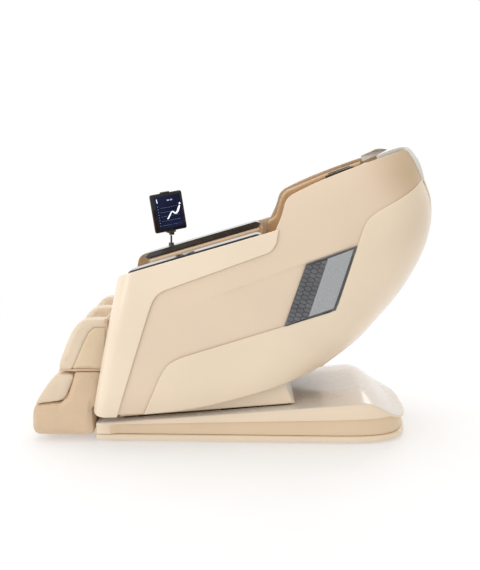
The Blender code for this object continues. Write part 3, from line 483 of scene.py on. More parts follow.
def prism(outline, low, high, radius=0.0, segments=3):
    """An XZ outline given thickness along Y, its rims rounded."""
    bm = bmesh.new()
    near = [bm.verts.new((x, low, z)) for x, z in outline]
    far = [bm.verts.new((x, high, z)) for x, z in outline]
    count = len(outline)
    ends = [bm.faces.new(near), bm.faces.new(far[::-1])]
    for index in range(count):
        after = (index + 1) % count
        bm.faces.new((near[index], far[index], far[after], near[after]))
    if radius:
        rims = list({edge for face in ends for edge in face.edges})
        bmesh.ops.bevel(bm, geom=rims, offset=radius, segments=segments, profile=0.5,
                        affect="EDGES")
    bmesh.ops.remove_doubles(bm, verts=bm.verts, dist=1e-5)
    return bm_mesh("prism", bm)


def tube(points, radius, sides=10, closed=False):
    """A round bar along points, with domed ends."""
    points = [Vector(point) for point in points]
    bm = bmesh.new()
    rings = []
    count = len(points)
    lift = Vector((0, 0, 1))
    for index, point in enumerate(points):
        ahead = points[(index + 1) % count] if closed or index < count - 1 else point
        behind = points[index - 1] if closed or index else point
        along = (ahead - behind).normalized()
        if abs(along.dot(lift)) > 0.9:
            lift = Vector((1, 0, 0))
        side = along.cross(lift).normalized()
        top = side.cross(along)
        rings.append([bm.verts.new(point + (side * math.cos(a) + top * math.sin(a)) * radius)
                      for a in (2 * math.pi * k / sides for k in range(sides))])
    pairs = list(zip(rings, rings[1:])) + ([(rings[-1], rings[0])] if closed else [])
    for first, second in pairs:
        for k in range(sides):
            bm.faces.new((first[k], first[(k + 1) % sides], second[(k + 1) % sides], second[k]))
    if not closed:
        for ring, end, other in ((rings[0], points[0], points[1]),
                                 (rings[-1], points[-1], points[-2])):
            tip = bm.verts.new(end + (end - other).normalized() * radius * 0.7)
            for k in range(sides):
                bm.faces.new((ring[k], ring[(k + 1) % sides], tip))
    return smoothed(bm_mesh("tube", bm), 60)


def bar(start, end, radius, sides=24):
    """A plain round bar between two places."""
    start, end = Vector(start), Vector(end)
    turn = (end - start).to_track_quat("Z", "Y").to_matrix().to_4x4()
    bm = bmesh.new()
    bmesh.ops.create_cone(bm, cap_ends=True, segments=sides, radius1=radius, radius2=radius,
                          depth=(end - start).length)
    bm.transform(Matrix.Translation((start + end) / 2) @ turn)
    return bm_mesh("bar", bm)


def joined(*meshes):
    """Several meshes as one."""
    bm = bmesh.new()
    for mesh in meshes:
        bm.from_mesh(mesh)
    made = bpy.data.meshes.new("joined")
    bm.to_mesh(made)
    bm.free()
    return made


def mirrored(mesh):
    """The mesh's mirror image in Y."""
    made = mesh.copy()
    made.transform(Matrix.Scale(-1, 4, (0, 1, 0)))
    made.flip_normals()
    return made


def coordinates(mesh, key="co"):
    """Each vertex's place, or with the key normal its normal."""
    flat = np.empty(len(mesh.vertices) * 3, np.float32)
    mesh.vertices.foreach_get(key, flat)
    return flat.reshape(-1, 3).astype(float)


def vertex_normals(mesh):
    return coordinates(mesh, "normal")


def set_coordinates(mesh, points):
    mesh.vertices.foreach_set("co", points.astype(np.float32).ravel())
    mesh.update()


def set_attribute(mesh, name, values):
    found = mesh.attributes.get(name) or mesh.attributes.new(name, "FLOAT", "POINT")
    found.data.foreach_set("value", values.astype(np.float32))


def ease(values):
    """A smooth step from 0 to 1."""
    values = np.clip(values, 0.0, 1.0)
    return values * values * (3 - 2 * values)


# ---------------------------------------------------------------- covers
BORDER_STEPS = (0.0, 0.10, 0.30, 0.60, 1.0)   # where a cover's rounded border is sampled
ROW_SPACING = 0.0075


def traced(keys):
    """Dense points along (x, z, corner radius[, station]) keys, and the stations' places."""
    points = []
    stations = []
    for index, key in enumerate(keys):
        start = len(points)
        inner = 0 < index < len(keys) - 1
        if inner and len(key) > 2:
            points += corner_arc(key, keys[index - 1], keys[index + 1], key[2], 12)
        else:
            points.append(Vector(key[:2]))
        if len(key) > 3 or not inner:
            stations.append((start + len(points) - 1) // 2)
    return np.array(points), stations


def spread(points, count):
    """The polyline's points at equal lengths."""
    run = np.append(0, np.cumsum(np.linalg.norm(np.diff(points, axis=0), axis=1)))
    wanted = np.linspace(0, run[-1], count + 1)
    return np.stack([np.interp(wanted, run, points[:, k]) for k in range(points.shape[1])], 1)


def paired(first_keys, second_keys):
    """Two lines with the same number of points, matched at their stations."""
    first, first_stations = traced(first_keys)
    second, second_stations = traced(second_keys)
    lines = ([], [])
    for k in range(len(first_stations) - 1):
        a = first[first_stations[k]:first_stations[k + 1] + 1]
        b = second[second_stations[k]:second_stations[k + 1] + 1]
        length = max(np.linalg.norm(np.diff(part, axis=0), axis=1).sum() for part in (a, b))
        count = max(2, round(length / ROW_SPACING))
        for line, part in zip(lines, (a, b)):
            line.append(spread(part, count)[0 if k == 0 else 1:])
    return np.vstack(lines[0]), np.vstack(lines[1])


def bordered(length, spacing, radius):
    """Distances along a length: close together at both ends, even between them."""
    edge = np.array(BORDER_STEPS) * min(radius, 0.3 * length)
    middle = np.linspace(edge[-1], length - edge[-1], max(2, round(length / spacing)))
    return np.concatenate([edge[:-1], middle, (length - edge[:-1])[::-1]])


def side_grid(first_keys, second_keys, sign, columns=14, radius=EDGE_RADIUS):
    """A grid of points on the capsule's side between two lines."""
    first, second = paired(first_keys, second_keys)
    step = np.linalg.norm(np.diff((first + second) / 2, axis=0), axis=1)
    run = np.append(0, np.cumsum(step))
    wanted = bordered(run[-1], ROW_SPACING, radius)
    first, second = (np.stack([np.interp(wanted, run, line[:, k]) for k in (0, 1)], 1)
                     for line in (first, second))
    fine = 0.5 - 0.5 * np.cos(np.linspace(0, math.pi, 81))
    flat = first[:, None] + (second - first)[:, None] * fine[None, :, None]
    wide = half_width(flat[..., 0], flat[..., 1])
    solid = np.stack([flat[..., 0], sign * wide, flat[..., 1]], -1)
    lengths = np.cumsum(np.linalg.norm(np.diff(solid, axis=1), axis=2), axis=1)
    grid = []
    for index, row in enumerate(lengths):
        run = np.append(0, row)
        places = bordered(run[-1], run[-1] / columns, radius)
        share = np.interp(places, run, fine)
        grid.append(first[index] + (second[index] - first[index]) * share[:, None])
    grid = np.array(grid)
    return np.stack([grid[..., 0], sign * half_width(grid[..., 0], grid[..., 1]),
                     grid[..., 1]], -1)


def grid_normals(grid, outward):
    normal = np.cross(np.gradient(grid, axis=0), np.gradient(grid, axis=1))
    normal /= np.maximum(np.linalg.norm(normal, axis=2), 1e-12)[..., None]
    return normal if (normal * np.array(outward)).sum() > 0 else -normal


def border_distance(grid):
    """Each point's distance from the grid's border, along its row or column."""
    nearest = np.full(grid.shape[:2], 9.0)
    for axis in (0, 1):
        step = np.linalg.norm(np.diff(grid, axis=axis), axis=2)
        run = np.cumsum(step, axis=axis)
        zero = np.zeros_like(np.take(run, [0], axis=axis))
        run = np.concatenate([zero, run], axis=axis)
        total = np.take(run, [-1], axis=axis)
        nearest = np.minimum(nearest, np.minimum(run, total - run))
    return nearest


def shell(grid, outward, offset=0.0, wall=SHELL_WALL, radius=EDGE_RADIUS, inner=False):
    """A cover's mesh: the grid with a rounded border, moved in by offset and given a wall."""
    normal = grid_normals(grid, outward)
    short = 1.0 - np.clip(border_distance(grid) / radius, 0, 1)
    drop = radius * (1.0 - np.sqrt(1.0 - short * short))
    depth = offset + (wall - drop if inner else drop)
    points = grid - normal * depth[..., None]
    rows, columns = grid.shape[:2]
    corner = (np.arange(rows - 1)[:, None] * columns + np.arange(columns - 1)).ravel()
    faces = np.stack([corner, corner + 1, corner + columns + 1, corner + columns], 1)
    mesh = bpy.data.meshes.new("shell")
    mesh.from_pydata(points.reshape(-1, 3).tolist(), [], faces.tolist())
    side = np.cross(points[1, 0] - points[0, 0], points[0, 1] - points[0, 0])
    facing = (side * normal[0, 0]).sum() < 0
    if facing == inner:
        mesh.flip_normals()
    hidden = radius if inner and radius > 0.5 * wall else 0.0
    return smoothed(applied(mesh, ("SOLIDIFY", {"thickness": wall - hidden, "offset": -1.0})), 40)


FRONT_LINE = [(-0.500, 0.117), (-0.549, 0.124, 0.030), (-0.5038, 0.346, 0.10),
              (-0.478, 0.472, 0.10), (-0.4365, 0.674, 0.020, 1), (-0.384, 0.691, 0.030),
              (0.135, 0.842), (0.178, 0.8555)]
FRONT_SEAM = [(-0.450, 0.116), (-0.446, 0.126), (-0.376, 0.346), (-0.336, 0.472),
              (-0.301, 0.581, 0.05, 1), (-0.275, 0.618, 0.04), (0.150, 0.772, 0.02),
              (0.170, 0.806)]
WING_REAR = (float(rear_edge(1.118)) - 0.001, 1.118)
REAR_TOP = (float(rear_edge(1.045)) - 0.0005, 1.045)
MIDDLE_TOP = [(-0.458, 0.121), (-0.311, 0.588, 0.05), (-0.283, 0.629, 0.04, 1),
              (0.140, 0.781, 0.02), (0.158, 0.806, 0.02), (0.1665, 0.856),
              (0.191, 0.911, 0.05), (0.205, 0.975, 0.035, 1), (0.305, 1.026, 0.05),
              (0.410, 1.069, 0.05), (0.541, 1.117, 0.05), (0.640, 1.147, 0.05),
              (0.6775, 1.1575, 0.016), WING_REAR]
MIDDLE_LOW = [(-0.332, 0.123), (-0.252, 0.312, 0.06), (-0.208, 0.348, 0.05, 1),
              (0.170, 0.464), (0.215, 0.478), (0.300, 0.505), (0.362, 0.524, 0.03),
              (0.410, 0.545, 0.03, 1), (0.452, 0.682), (0.510, 0.870, 0.05),
              (0.545, 0.905, 0.04), (0.690, 0.985, 0.10), REAR_TOP]
REAR_SEAM = [(-0.344, 0.1255), (-0.262, 0.320, 0.06), (-0.215, 0.360, 0.05, 1),
             (0.195, 0.4885), (0.300, 0.5215), (0.395, 0.551, 0.030, 1), (0.472, 0.797, 0.02),
             (0.500, 0.880, 0.05), (0.535, 0.916, 0.04), (0.680, 0.994, 0.10),
             (REAR_TOP[0] - 0.001, 1.042)]
REAR_RIM = ([(-0.215, 0.138), (-0.120, 0.154), (-0.072, 0.165, 0.10, 1), (0.080, 0.2075, 0.10),
             (0.250, 0.259, 0.04), (float(rear_edge(0.285)), 0.285, 0.012, 1)]
            + [(float(rear_edge(z)), z) for z in np.linspace(0.31, 1.040, 24)])
CREASE = np.array([(-0.10, 0.588), (0.280, 0.728), (0.470, 0.797)])


def cover_pieces(side, sign):
    outward = (0.0, sign, 0.0)
    front = shell(side_grid(FRONT_LINE, FRONT_SEAM, sign), outward)
    piece("front_cover_" + side, front, CREAM, "seat_body", "shell_champagne", "side_front_" + side)

    grid = side_grid(MIDDLE_TOP, MIDDLE_LOW, sign, 70)
    flat = grid[..., [0, 2]]
    above = flat[..., 1] - np.interp(flat[..., 0], CREASE[:, 0], CREASE[:, 1])
    reach = ease((flat[..., 0] + 0.16) / 0.20) * (1 - ease((flat[..., 0] - 0.40) / 0.09))
    ridge = 0.0042 * np.exp(-np.maximum(above, 0) / 0.08) * ease((above + 0.003) / 0.006) * reach
    grid[..., 1] += sign * ridge
    ending = np.linalg.norm(flat - flat[-1:], axis=2)
    middle = shell(grid, outward, RECESS * (0.08 + 0.92 * ease(ending / 0.09)))
    x, _, z = coordinates(middle).T
    # Painted shade: the mask grows towards the middle panel's rear and top, darkening the wing
    # there.
    set_attribute(middle, "painted_shade", ease((x - 0.42) / 0.32) * ease((z - 0.88) / 0.20))
    piece("middle_panel_" + side, middle, ROSE, "seat_body", "panel_rose", "side_middle_" + side)

    rear = shell(side_grid(REAR_SEAM, REAR_RIM, sign, 22), outward)
    piece("rear_cover_" + side, rear, CHAMPAGNE, "seat_body", "shell_champagne", "side_rear_" + side)


GRILLE_TOP = [(0.2805, 0.7275), (0.4695, 0.7965)]
GRILLE_LOW = [(0.2005, 0.4895), (0.3945, 0.5525)]
PLATE_SPLIT = ((0.361, 0.7485), (0.288, 0.520))
CELL_WIDTH = 0.0327         # of a grille cell, point to point
CELL_PITCH = 0.0175
CELL_LIFT = 0.0020
CELL_GAP = 0.0016            # between neighbouring cells


def on_side(x, z, sign, lift):
    """A place on the capsule's side, lifted off it."""
    return Vector((x, sign * (width_at(x, z) + lift), z))


def clipped(polygon, corners):
    """The part of an (x, z) polygon inside a convex outline that runs clockwise."""
    for start, end in zip(corners, corners[1:] + corners[:1]):
        side = Vector((end.y - start.y, start.x - end.x)).normalized()
        kept = []
        for first, second in zip(polygon, polygon[1:] + polygon[:1]):
            a, b = (first - start).dot(side), (second - start).dot(side)
            if a >= 0:
                kept.append(first)
            if (a >= 0) != (b >= 0):
                kept.append(first.lerp(second, a / (a - b)))
        polygon = kept
        if len(polygon) < 3:
            return []
    return polygon


def shrunk(polygon, gap):
    """A small convex polygon drawn in from its edges by about gap."""
    middle = sum(polygon, Vector((0, 0))) / len(polygon)
    return [point + (middle - point).normalized() * min(gap * 1.15, 0.45 * (middle - point).length)
            for point in polygon]


def cell_pads(sign):
    """Raised six-sided pads over the mesh part of the grille, cut off at its edges."""
    top, low = Vector(GRILLE_TOP[0]), Vector(GRILLE_LOW[0])
    split_top, split_low = Vector(PLATE_SPLIT[0]), Vector(PLATE_SPLIT[1])
    corners = [top, split_top, split_low, low]
    middle = sum(corners, Vector((0, 0))) / 4
    corners = [corner + (middle - corner).normalized() * 0.004 for corner in corners]
    up = (top - low).normalized()
    across = Vector((up.y, -up.x))
    bm = bmesh.new()
    for column in range(-1, 6):
        for row in range(-2, 20):
            centre = (low + across * CELL_WIDTH * (0.75 * column + 0.36)
                      + up * CELL_PITCH * (row + 0.5 * (column % 2)))
            hexagon = [centre + across * (CELL_WIDTH / 2 * math.cos(math.pi / 3 * k))
                       + up * (CELL_PITCH / 1.732 * math.sin(math.pi / 3 * k))
                       for k in range(6)]
            hexagon = clipped(shrunk(hexagon, CELL_GAP / 2), corners)
            if len(hexagon) < 3:
                continue
            rings = [[bm.verts.new(on_side(p.x, p.y, sign, lift)) for p in shrunk(hexagon, gap)]
                     for gap, lift in ((0.0, 0.0002), (0.0, CELL_LIFT - 0.0008),
                                       (0.0009, CELL_LIFT))]
            count = len(hexagon)
            for outer, inner in zip(rings, rings[1:]):
                for k in range(count):
                    bm.faces.new((outer[k], outer[(k + 1) % count], inner[(k + 1) % count],
                                  inner[k]))
            bm.faces.new(rings[-1])
            bm.faces.new(rings[0][::-1])
    bmesh.ops.remove_doubles(bm, verts=bm.verts, dist=1e-6)
    return bm_mesh("cell_pads", bm)


def grille_pieces(side, sign):
    def part(name, mesh, paint, slot="grille_dark"):
        piece("grille_%s_%s" % (name, side), mesh, paint, "seat_body", slot, "side_grille_" + side)

    def sheet(top, low, columns, border, *walls):
        return shell(side_grid(top, low, sign, columns, border), (0.0, sign, 0.0), *walls)

    part("frame", sheet(GRILLE_TOP, GRILLE_LOW, 12, EDGE_RADIUS, -0.0004, 0.0040, 0.0012),
         FRAME_GREY)
    # The sheet under the cells, only a millimetre or two down, is painted near-black: painted shade.
    part("hollow", sheet([(0.2835, 0.7265), PLATE_SPLIT[0]], [(0.2040, 0.4925), PLATE_SPLIT[1]],
                         8, EDGE_RADIUS, -0.0009, 0.0020, 0.0010), GRILLE_HOLLOW_SHADE)
    part("cells", cell_pads(sign), MESH_GREY)
    part("plate", sheet([PLATE_SPLIT[0], (0.4580, 0.7850)], [(0.2905, 0.5275), (0.3860, 0.5600)],
                        10, 0.003, -0.0022, 0.0030, 0.003), PLATE_GREY)
    outline = rounded([(0.2035, 0.4925, 0.006), (0.2820, 0.7260, 0.008), (0.4665, 0.7930, 0.010),
                       (0.3920, 0.5545, 0.014)], 6)
    rim = tube([on_side(x, z, sign, -0.0003) for x, z in outline], 0.0026, 8, True)
    part("rim", rim, RIM_GREY, "gloss_black")
    split = [Vector(PLATE_SPLIT[0]).lerp(Vector(PLATE_SPLIT[1]), k / 10) for k in range(11)]
    line = tube([on_side(p.x, p.y, sign, 0.0002) for p in split], 0.0020, 8)
    part("divider", line, RIM_GREY, "gloss_black")


LINER_EDGE = [(0.150, 0.420), (0.150, 0.836, 0.010), (0.187, 0.862, 0.010), (0.200, 0.915, 0.05),
              (0.216, 0.975, 0.030, 1), (0.410, 1.060, 0.05), (0.560, 1.113)]
LINER_BACK = [(0.240, 0.420), (0.310, 0.520), (0.380, 0.640), (0.450, 0.760, 0.05, 1),
              (0.500, 0.860), (0.550, 0.960), (0.600, 1.058)]
POD_TOP = [(0.402, 1.055), (0.524, 1.099)]
POD_LOW = [(0.414, 0.985), (0.537, 1.028)]


def liner_pieces(side, sign):
    outward = (0.0, sign, 0.0)
    lining = shell(side_grid(LINER_EDGE, LINER_BACK, sign, 24, 0.012), outward, 0.0155, 0.016,
                   0.012, True)
    cushion("wing_lining_" + side, lining, TAN, "seat_body", "leather_tan", 1.0,
            "wing_liner_" + side)
    pod = shell(side_grid(POD_TOP, POD_LOW, sign, 12, 0.003), outward, 0.0350, 0.006, 0.003, True)
    piece("speaker_pod_" + side, pod, GLOSS_BLACK, "seat_body", "gloss_black", "speaker_" + side)
    for index in range(5):
        share = 0.16 + 0.17 * index
        start = Vector(POD_TOP[0]).lerp(Vector(POD_LOW[0]), share)
        end = Vector(POD_TOP[1]).lerp(Vector(POD_LOW[1]), share)
        line = [start.lerp(end, 0.12 + 0.76 * k / 12) for k in range(13)]
        places = [on_side(p.x, p.y, sign, -0.0410 - 0.0012 * math.sin(math.pi * k / 12))
                  for k, p in enumerate(line)]
        piece("speaker_bar_%d_%s" % (index, side), tube(places, 0.0024, 8), MESH_GREY, "seat_body",
              "gloss_black", "speaker_" + side)


def back_grid(line, widths, rounding, columns=40):
    """Rows across the chair along a centre line, wrapped round the rounded back."""
    inward = across_line(line)
    rows = []
    for centre, turn, width, share in zip(line, inward, widths, rounding):
        y = np.linspace(-width, width, columns + 1)
        place = centre + turn * share * edge_inset(y)[:, None]
        rows.append(np.stack([place[:, 0], y, place[:, 1]], 1))
    return np.array(rows)


def back_pieces():
    line = smooth_line([(0.7685, 1.040), (0.794, 0.968), (0.800, 0.885), (0.787, 0.802),
                        (0.758, 0.720), (0.716, 0.638), (0.662, 0.556), (0.587, 0.465),
                        (0.511, 0.380), (0.415, 0.302), (0.368, 0.265)], 8)
    back = shell(back_grid(line, [BACK_HALF] * len(line), [1.0] * len(line)), (1.0, 0.0, 0.0),
                 radius=0.0018)
    piece("back_cover", back, CHAMPAGNE, "seat_body", "shell_champagne", "back_shell")
    crest = smooth_line([(0.602, 1.158), (0.632, 1.1685), (0.664, 1.1705),
                         (0.700, 1.160), (0.735, 1.128), (0.755, 1.085), (0.7675, 1.0425)], 6)
    x, z = crest[:, 0] - 0.01, crest[:, 1] - 0.035
    inner = half_width(x, z) - 0.040
    taper = ease((crest[:, 1] - 1.120) / 0.035)
    widths = BACK_HALF + np.maximum(inner - BACK_HALF, 0) * taper
    along = np.linspace(0, 1, len(crest))
    grid = back_grid(crest, widths, 0.35 + 0.65 * ease((along - 0.38) / 0.28))
    horns = ease((np.abs(grid[..., 1]) - 0.175) / 0.05) * (1 - ease(along / 0.45))[:, None]
    grid[..., 0] -= 0.050 * horns
    grid[..., 2] -= 0.020 * horns
    down = across_line(crest)
    flanges = []
    for column, sign in ((0, -1.0), (-1, 1.0)):
        edge = grid[:, column]
        flanges.append([edge + np.stack([down[:, 0] * drop, np.full(len(down), sign * out),
                                         down[:, 1] * drop], 1)
                        for drop, out in ((0.0008, 0.0005), (0.003, 0.0008), (0.012, 0.0008),
                                          (0.026, 0.0008))])
    grid = np.concatenate([np.stack(flanges[0][::-1], 1), grid, np.stack(flanges[1], 1)], 1)
    hood = shell(grid, (0.3, 0.0, 1.0), radius=0.0012)
    piece("hood_cover", hood, PEARL, "seat_body", "pearl_white", "hood")


for side_name, side_sign in SIDES:
    cover_pieces(side_name, side_sign)
    grille_pieces(side_name, side_sign)
    liner_pieces(side_name, side_sign)
back_pieces()


# ---------------------------------------------------------------- base
BASE_FRONT = -0.543
BASE_REAR = 0.715
SWELL = 0.40                 # X where the round rear end begins
REAR_POWER = 0.58            # squareness of the rear end
REAR_HALF = 0.314            # half width where the round rear end begins
GROOVE_DEPTH = 0.010
GROOVE_START = -0.478        # the shadow groove fades in behind the front block
GROOVE_SLOPE = (0.070, 0.030)   # height of the groove's top at the front, rise per metre
DECK_SLOPE = (0.078, 0.0833)    # the same for the deck's top edge
DECK_FALL = 0.088            # how far that edge comes down round the rear end
DECK_CROWN = 0.016           # how far the deck rises inside its edge
DECK_WALL = 0.004


def base_outline(inset, arc=36):
    """The closed ring round the base, in XY, from the rear point."""
    half = []
    for step in range(arc + 1):
        angle = 0.5 * math.pi * step / arc
        x = SWELL + (BASE_REAR - inset - SWELL) * max(0.0, math.cos(angle)) ** REAR_POWER
        half.append((x, (REAR_HALF - inset) * math.sin(angle) ** REAR_POWER if step else 0.0))
    front = BASE_FRONT + inset
    corners = [(SWELL, REAR_HALF - inset), (0.10, 0.306 - inset), (-0.20, 0.299 - inset),
               (front + 0.012, 0.292 - inset), (front + 0.0035, 0.2885 - inset),
               (front, 0.280 - inset), (front, 0.0)]
    for start, end, count in zip(corners, corners[1:], (15, 15, 15, 2, 2, 12)):
        half += [tuple(np.array(start) + (np.array(end) - np.array(start)) * (k + 1) / count)
                 for k in range(count)]
    return half + [(x, -y) for x, y in half[-2:0:-1]]


def deck_edge(x):
    """Height of the deck's top edge."""
    fall = float(ease(np.array((x - 0.52) / 0.185)))
    return DECK_SLOPE[0] + DECK_SLOPE[1] * (x - BASE_FRONT) - DECK_FALL * fall


def groove_top(x):
    """Height of the shadow groove's upper edge."""
    return min(GROOVE_SLOPE[0] + GROOVE_SLOPE[1] * (x - BASE_FRONT), deck_edge(x) - 0.012)


def loft(rings, flat_ends=False):
    """A closed solid through closed rings that are symmetric in Y."""
    bm = bmesh.new()
    grid = [[bm.verts.new(point) for point in ring] for ring in rings]
    count = len(grid[0])
    for lower, upper in zip(grid, grid[1:]):
        for k in range(count):
            bm.faces.new((lower[k], lower[(k + 1) % count], upper[(k + 1) % count], upper[k]))
    for ring in (grid[0], grid[-1]):
        if flat_ends:
            bm.faces.new(ring)
            continue
        for k in range(count // 2):
            corners = list(dict.fromkeys([ring[k], ring[k + 1], ring[-k - 1], ring[-k]]))
            if len(corners) > 2:
                bm.faces.new(corners)
    return bm_mesh("loft", bm)


def base_level(inset, height):
    """A ring of points at an inset and a height, each a number or a function of X."""
    outer = base_outline(0.0)
    values = [inset(x) if callable(inset) else inset for x, _ in outer]
    ring = []
    cache = {}
    for index, value in enumerate(values):
        key = round(value, 5)
        if key not in cache:
            cache[key] = base_outline(key)
        place = cache[key][index]
        ring.append((*place, height(place[0]) if callable(height) else height))
    return ring


def groove_inset(x):
    """The shadow groove dies out before it reaches the front block."""
    return GROOVE_DEPTH * float(ease(np.array((x - GROOVE_START) / 0.010)))


def deck_solid(inset, drop, lip):
    """The deck, or the hollow inside it when inset and dropped."""
    rings = [base_level(lambda x: groove_inset(x) + inset, 0.0335 - 3 * drop),
             base_level(lambda x: groove_inset(x) + inset, lambda x: groove_top(x) + drop)]
    for turn in (0.0, 0.35, 0.7, 1.0):
        rise = lip * (1 - math.cos(turn * math.pi / 2))
        reach = lip * (1 - math.sin(turn * math.pi / 2))
        rings.append(base_level(lambda x: min(reach, groove_inset(x)) + inset,
                                lambda x: groove_top(x) + drop + rise))
    for turn in (0.0, 0.25, 0.5, 0.75, 1.0):
        reach = 0.008 * (1 - math.cos(turn * math.pi / 2))
        rise = 0.006 * math.sin(turn * math.pi / 2) - 0.006
        rings.append(base_level(reach + inset, lambda x: deck_edge(x) + rise - drop))
    for extra in (0.012, 0.020, 0.03, 0.045, 0.06, 0.075, 0.09, 0.105, 0.12, 0.14, 0.16, 0.18,
                  0.20):
        rise = DECK_CROWN * math.sin(0.5 * math.pi * (extra - 0.008) / 0.192)
        rings.append(base_level(extra + inset, lambda x: deck_edge(x) + rise - drop))
    return loft(rings)


def base_pieces():
    deck = cut(deck_solid(0.0, 0.0, 0.0025), deck_solid(DECK_WALL, DECK_WALL, 0.0005),
               block((-0.435, -0.262, 0.045), (0.235, 0.262, 0.30), 0.004),
               block((0.66, 0.045, 0.045), (0.74, 0.135, 0.085), 0.003))
    made = piece("deck_cover", smoothed(deck, 28), (BASE_PAINT, GROOVE_SHADE_PAINT, DECK_REFLECTION_PAINT), "base",
                 "shell_champagne", "base_deck")
    middle = np.array([face.center[:] for face in made.data.polygons])
    for face, (x, _, z) in zip(made.data.polygons, middle):
        steep = abs(face.normal.z) < 0.3 or face.normal.z < -0.5
        # Steep faces in the groove take the darker groove paint: painted shade.
        face.material_index = int(z < groove_top(x) + 0.0004 and steep and x > -0.472)
        # Upward faces near the deck's top take the greyer deck paint: a painted reflection.
        if face.normal.z > 0.5 and z > deck_edge(x) - 0.0045:
            face.material_index = 2

    levels = [(0.004, 0.008), (0.0012, 0.0092), (0.0, 0.012), (0.0, 0.027), (0.0010, 0.0298),
              (0.0035, 0.031)]
    plinth = loft([base_level(inset, height) for inset, height in levels])
    for sign in (-1, 1):
        low, high = sorted((sign * 0.135, sign * 0.185))
        plinth = cut(plinth, block((0.545, low, -0.02), (0.655, high, 0.06), 0.004))
    piece("plinth_cover", smoothed(plinth, 30), BASE_PAINT, "base", "shell_champagne",
          "base_plinth")

    outline = rounded([(-0.452, deck_edge(-0.452) + 0.0100, 0.0), (-0.432, 0.178, 0.015),
                       (0.2055, 0.241, 0.006), (0.252, deck_edge(0.252) + 0.0100, 0.0)])
    skirt = prism(outline, -0.2695, 0.2695, 0.008, 4)
    hollow = prism([(-0.443, 0.04), (-0.426, 0.30), (0.1638, 0.30), (0.2455, 0.165),
                    (0.2455, 0.04)], -0.2645, 0.2645)
    piece("pedestal_cover", smoothed(cut(skirt, hollow), 30), BASE_PAINT, "base",
          "shell_champagne", "pedestal_skirt")


# ---------------------------------------------------------------- arms
def arm_pieces(side, sign):
    low, high = sorted((sign * 0.246, sign * 0.328))
    outline = rounded([(-0.397, arm_line(-0.397) - 0.022, 0.010),
                       (-0.397, arm_line(-0.397) + 0.005, 0.014),
                       (-0.240, arm_line(-0.240) + 0.006, 0.05),
                       (0.100, arm_line(0.100) + 0.006, 0.010),
                       (0.120, arm_line(0.120) - 0.010, 0.006),
                       (0.104, arm_line(0.104) - 0.022, 0.006)])
    cap = smoothed(prism(outline, low, high, 0.007, 5), 40)
    piece("arm_top_" + side, cap, GLOSS_BLACK, "seat_body", "gloss_black", "arm_cap_" + side)

    low, high = sorted((sign * 0.252, sign * 0.333))
    outline = rounded([(-0.384, arm_line(-0.384) - 0.0235, 0.012),
                       (0.128, arm_line(0.128) - 0.0235, 0.010), (0.128, 0.330, 0.010),
                       (-0.345, 0.330, 0.010), (-0.345, 0.530, 0.03), (-0.384, 0.565, 0.02)])
    body = prism(outline, low, high, 0.008, 3)
    channel = rounded([(-0.362, arm_line(-0.362) - 0.046, 0.02),
                       (0.100, arm_line(0.100) - 0.046, 0.02),
                       (0.100, arm_line(0.100) - 0.150, 0.03),
                       (-0.362, arm_line(-0.362) - 0.140, 0.03)], 8)
    low, high = sorted((sign * 0.236, sign * 0.322))
    body = cut(body, prism(channel, low, high, 0.006, 3))
    cushion("arm_cushion_" + side, bevelled(body, 0.004, 3, 60), TAN, "seat_body", "leather_tan",
            0.9, "arm_pad_" + side)

    roll = [(x, sign * 0.2555, arm_line(x) - 0.0345) for x in np.linspace(-0.374, 0.112, 30)]
    cushion("arm_roll_" + side, tube(roll, 0.0115, 18), PALE, "seat_body", "leather_tan", 1.0,
            "arm_pad_" + side)


# ---------------------------------------------------------------- tablet
TABLET_TURN = math.radians(22.0)
TABLET_FRAME = (Matrix.Translation((-0.300, 0.300, 0.876))
                @ Matrix.Rotation(TABLET_TURN, 4, "Z")
                @ Matrix.Rotation(math.radians(-9.0), 4, "Y"))
TABLET_HINGE = Vector((-0.2865, 0.3071, 0.7802))
POST_PLACE = (-0.288, 0.306)
SCREEN_FACE = 0.0070         # how far the marks lie in front of the tablet's middle


def on_tablet(mesh):
    mesh.transform(TABLET_FRAME)
    return mesh


def panel(left, right, low, high, radius):
    """An upright rectangle's outline, in (x, z), with rounded corners."""
    return rounded([(left, low, radius), (right, low, radius), (right, high, radius),
                    (left, high, radius)])


def chip(outline):
    """A thin closed mark on the screen, from an (x, z) outline."""
    return on_tablet(prism(outline, -SCREEN_FACE - 0.0002, -SCREEN_FACE + 0.00005))


def stroke(points, widths):
    """The outline of a band along (x, z) points."""
    points = [Vector(p) for p in points]
    left, right = [], []
    for k, (point, width) in enumerate(zip(points, widths)):
        along = (points[min(k + 1, len(points) - 1)] - points[max(k - 1, 0)]).normalized()
        side = Vector((-along.y, along.x)) * width / 2
        left.append(tuple(point + side))
        right.append(tuple(point - side))
    return left + right[::-1]


def disc(middle, radius, sides=14):
    return [(middle[0] + radius * math.cos(2 * math.pi * k / sides),
             middle[1] + radius * math.sin(2 * math.pi * k / sides)) for k in range(sides)]


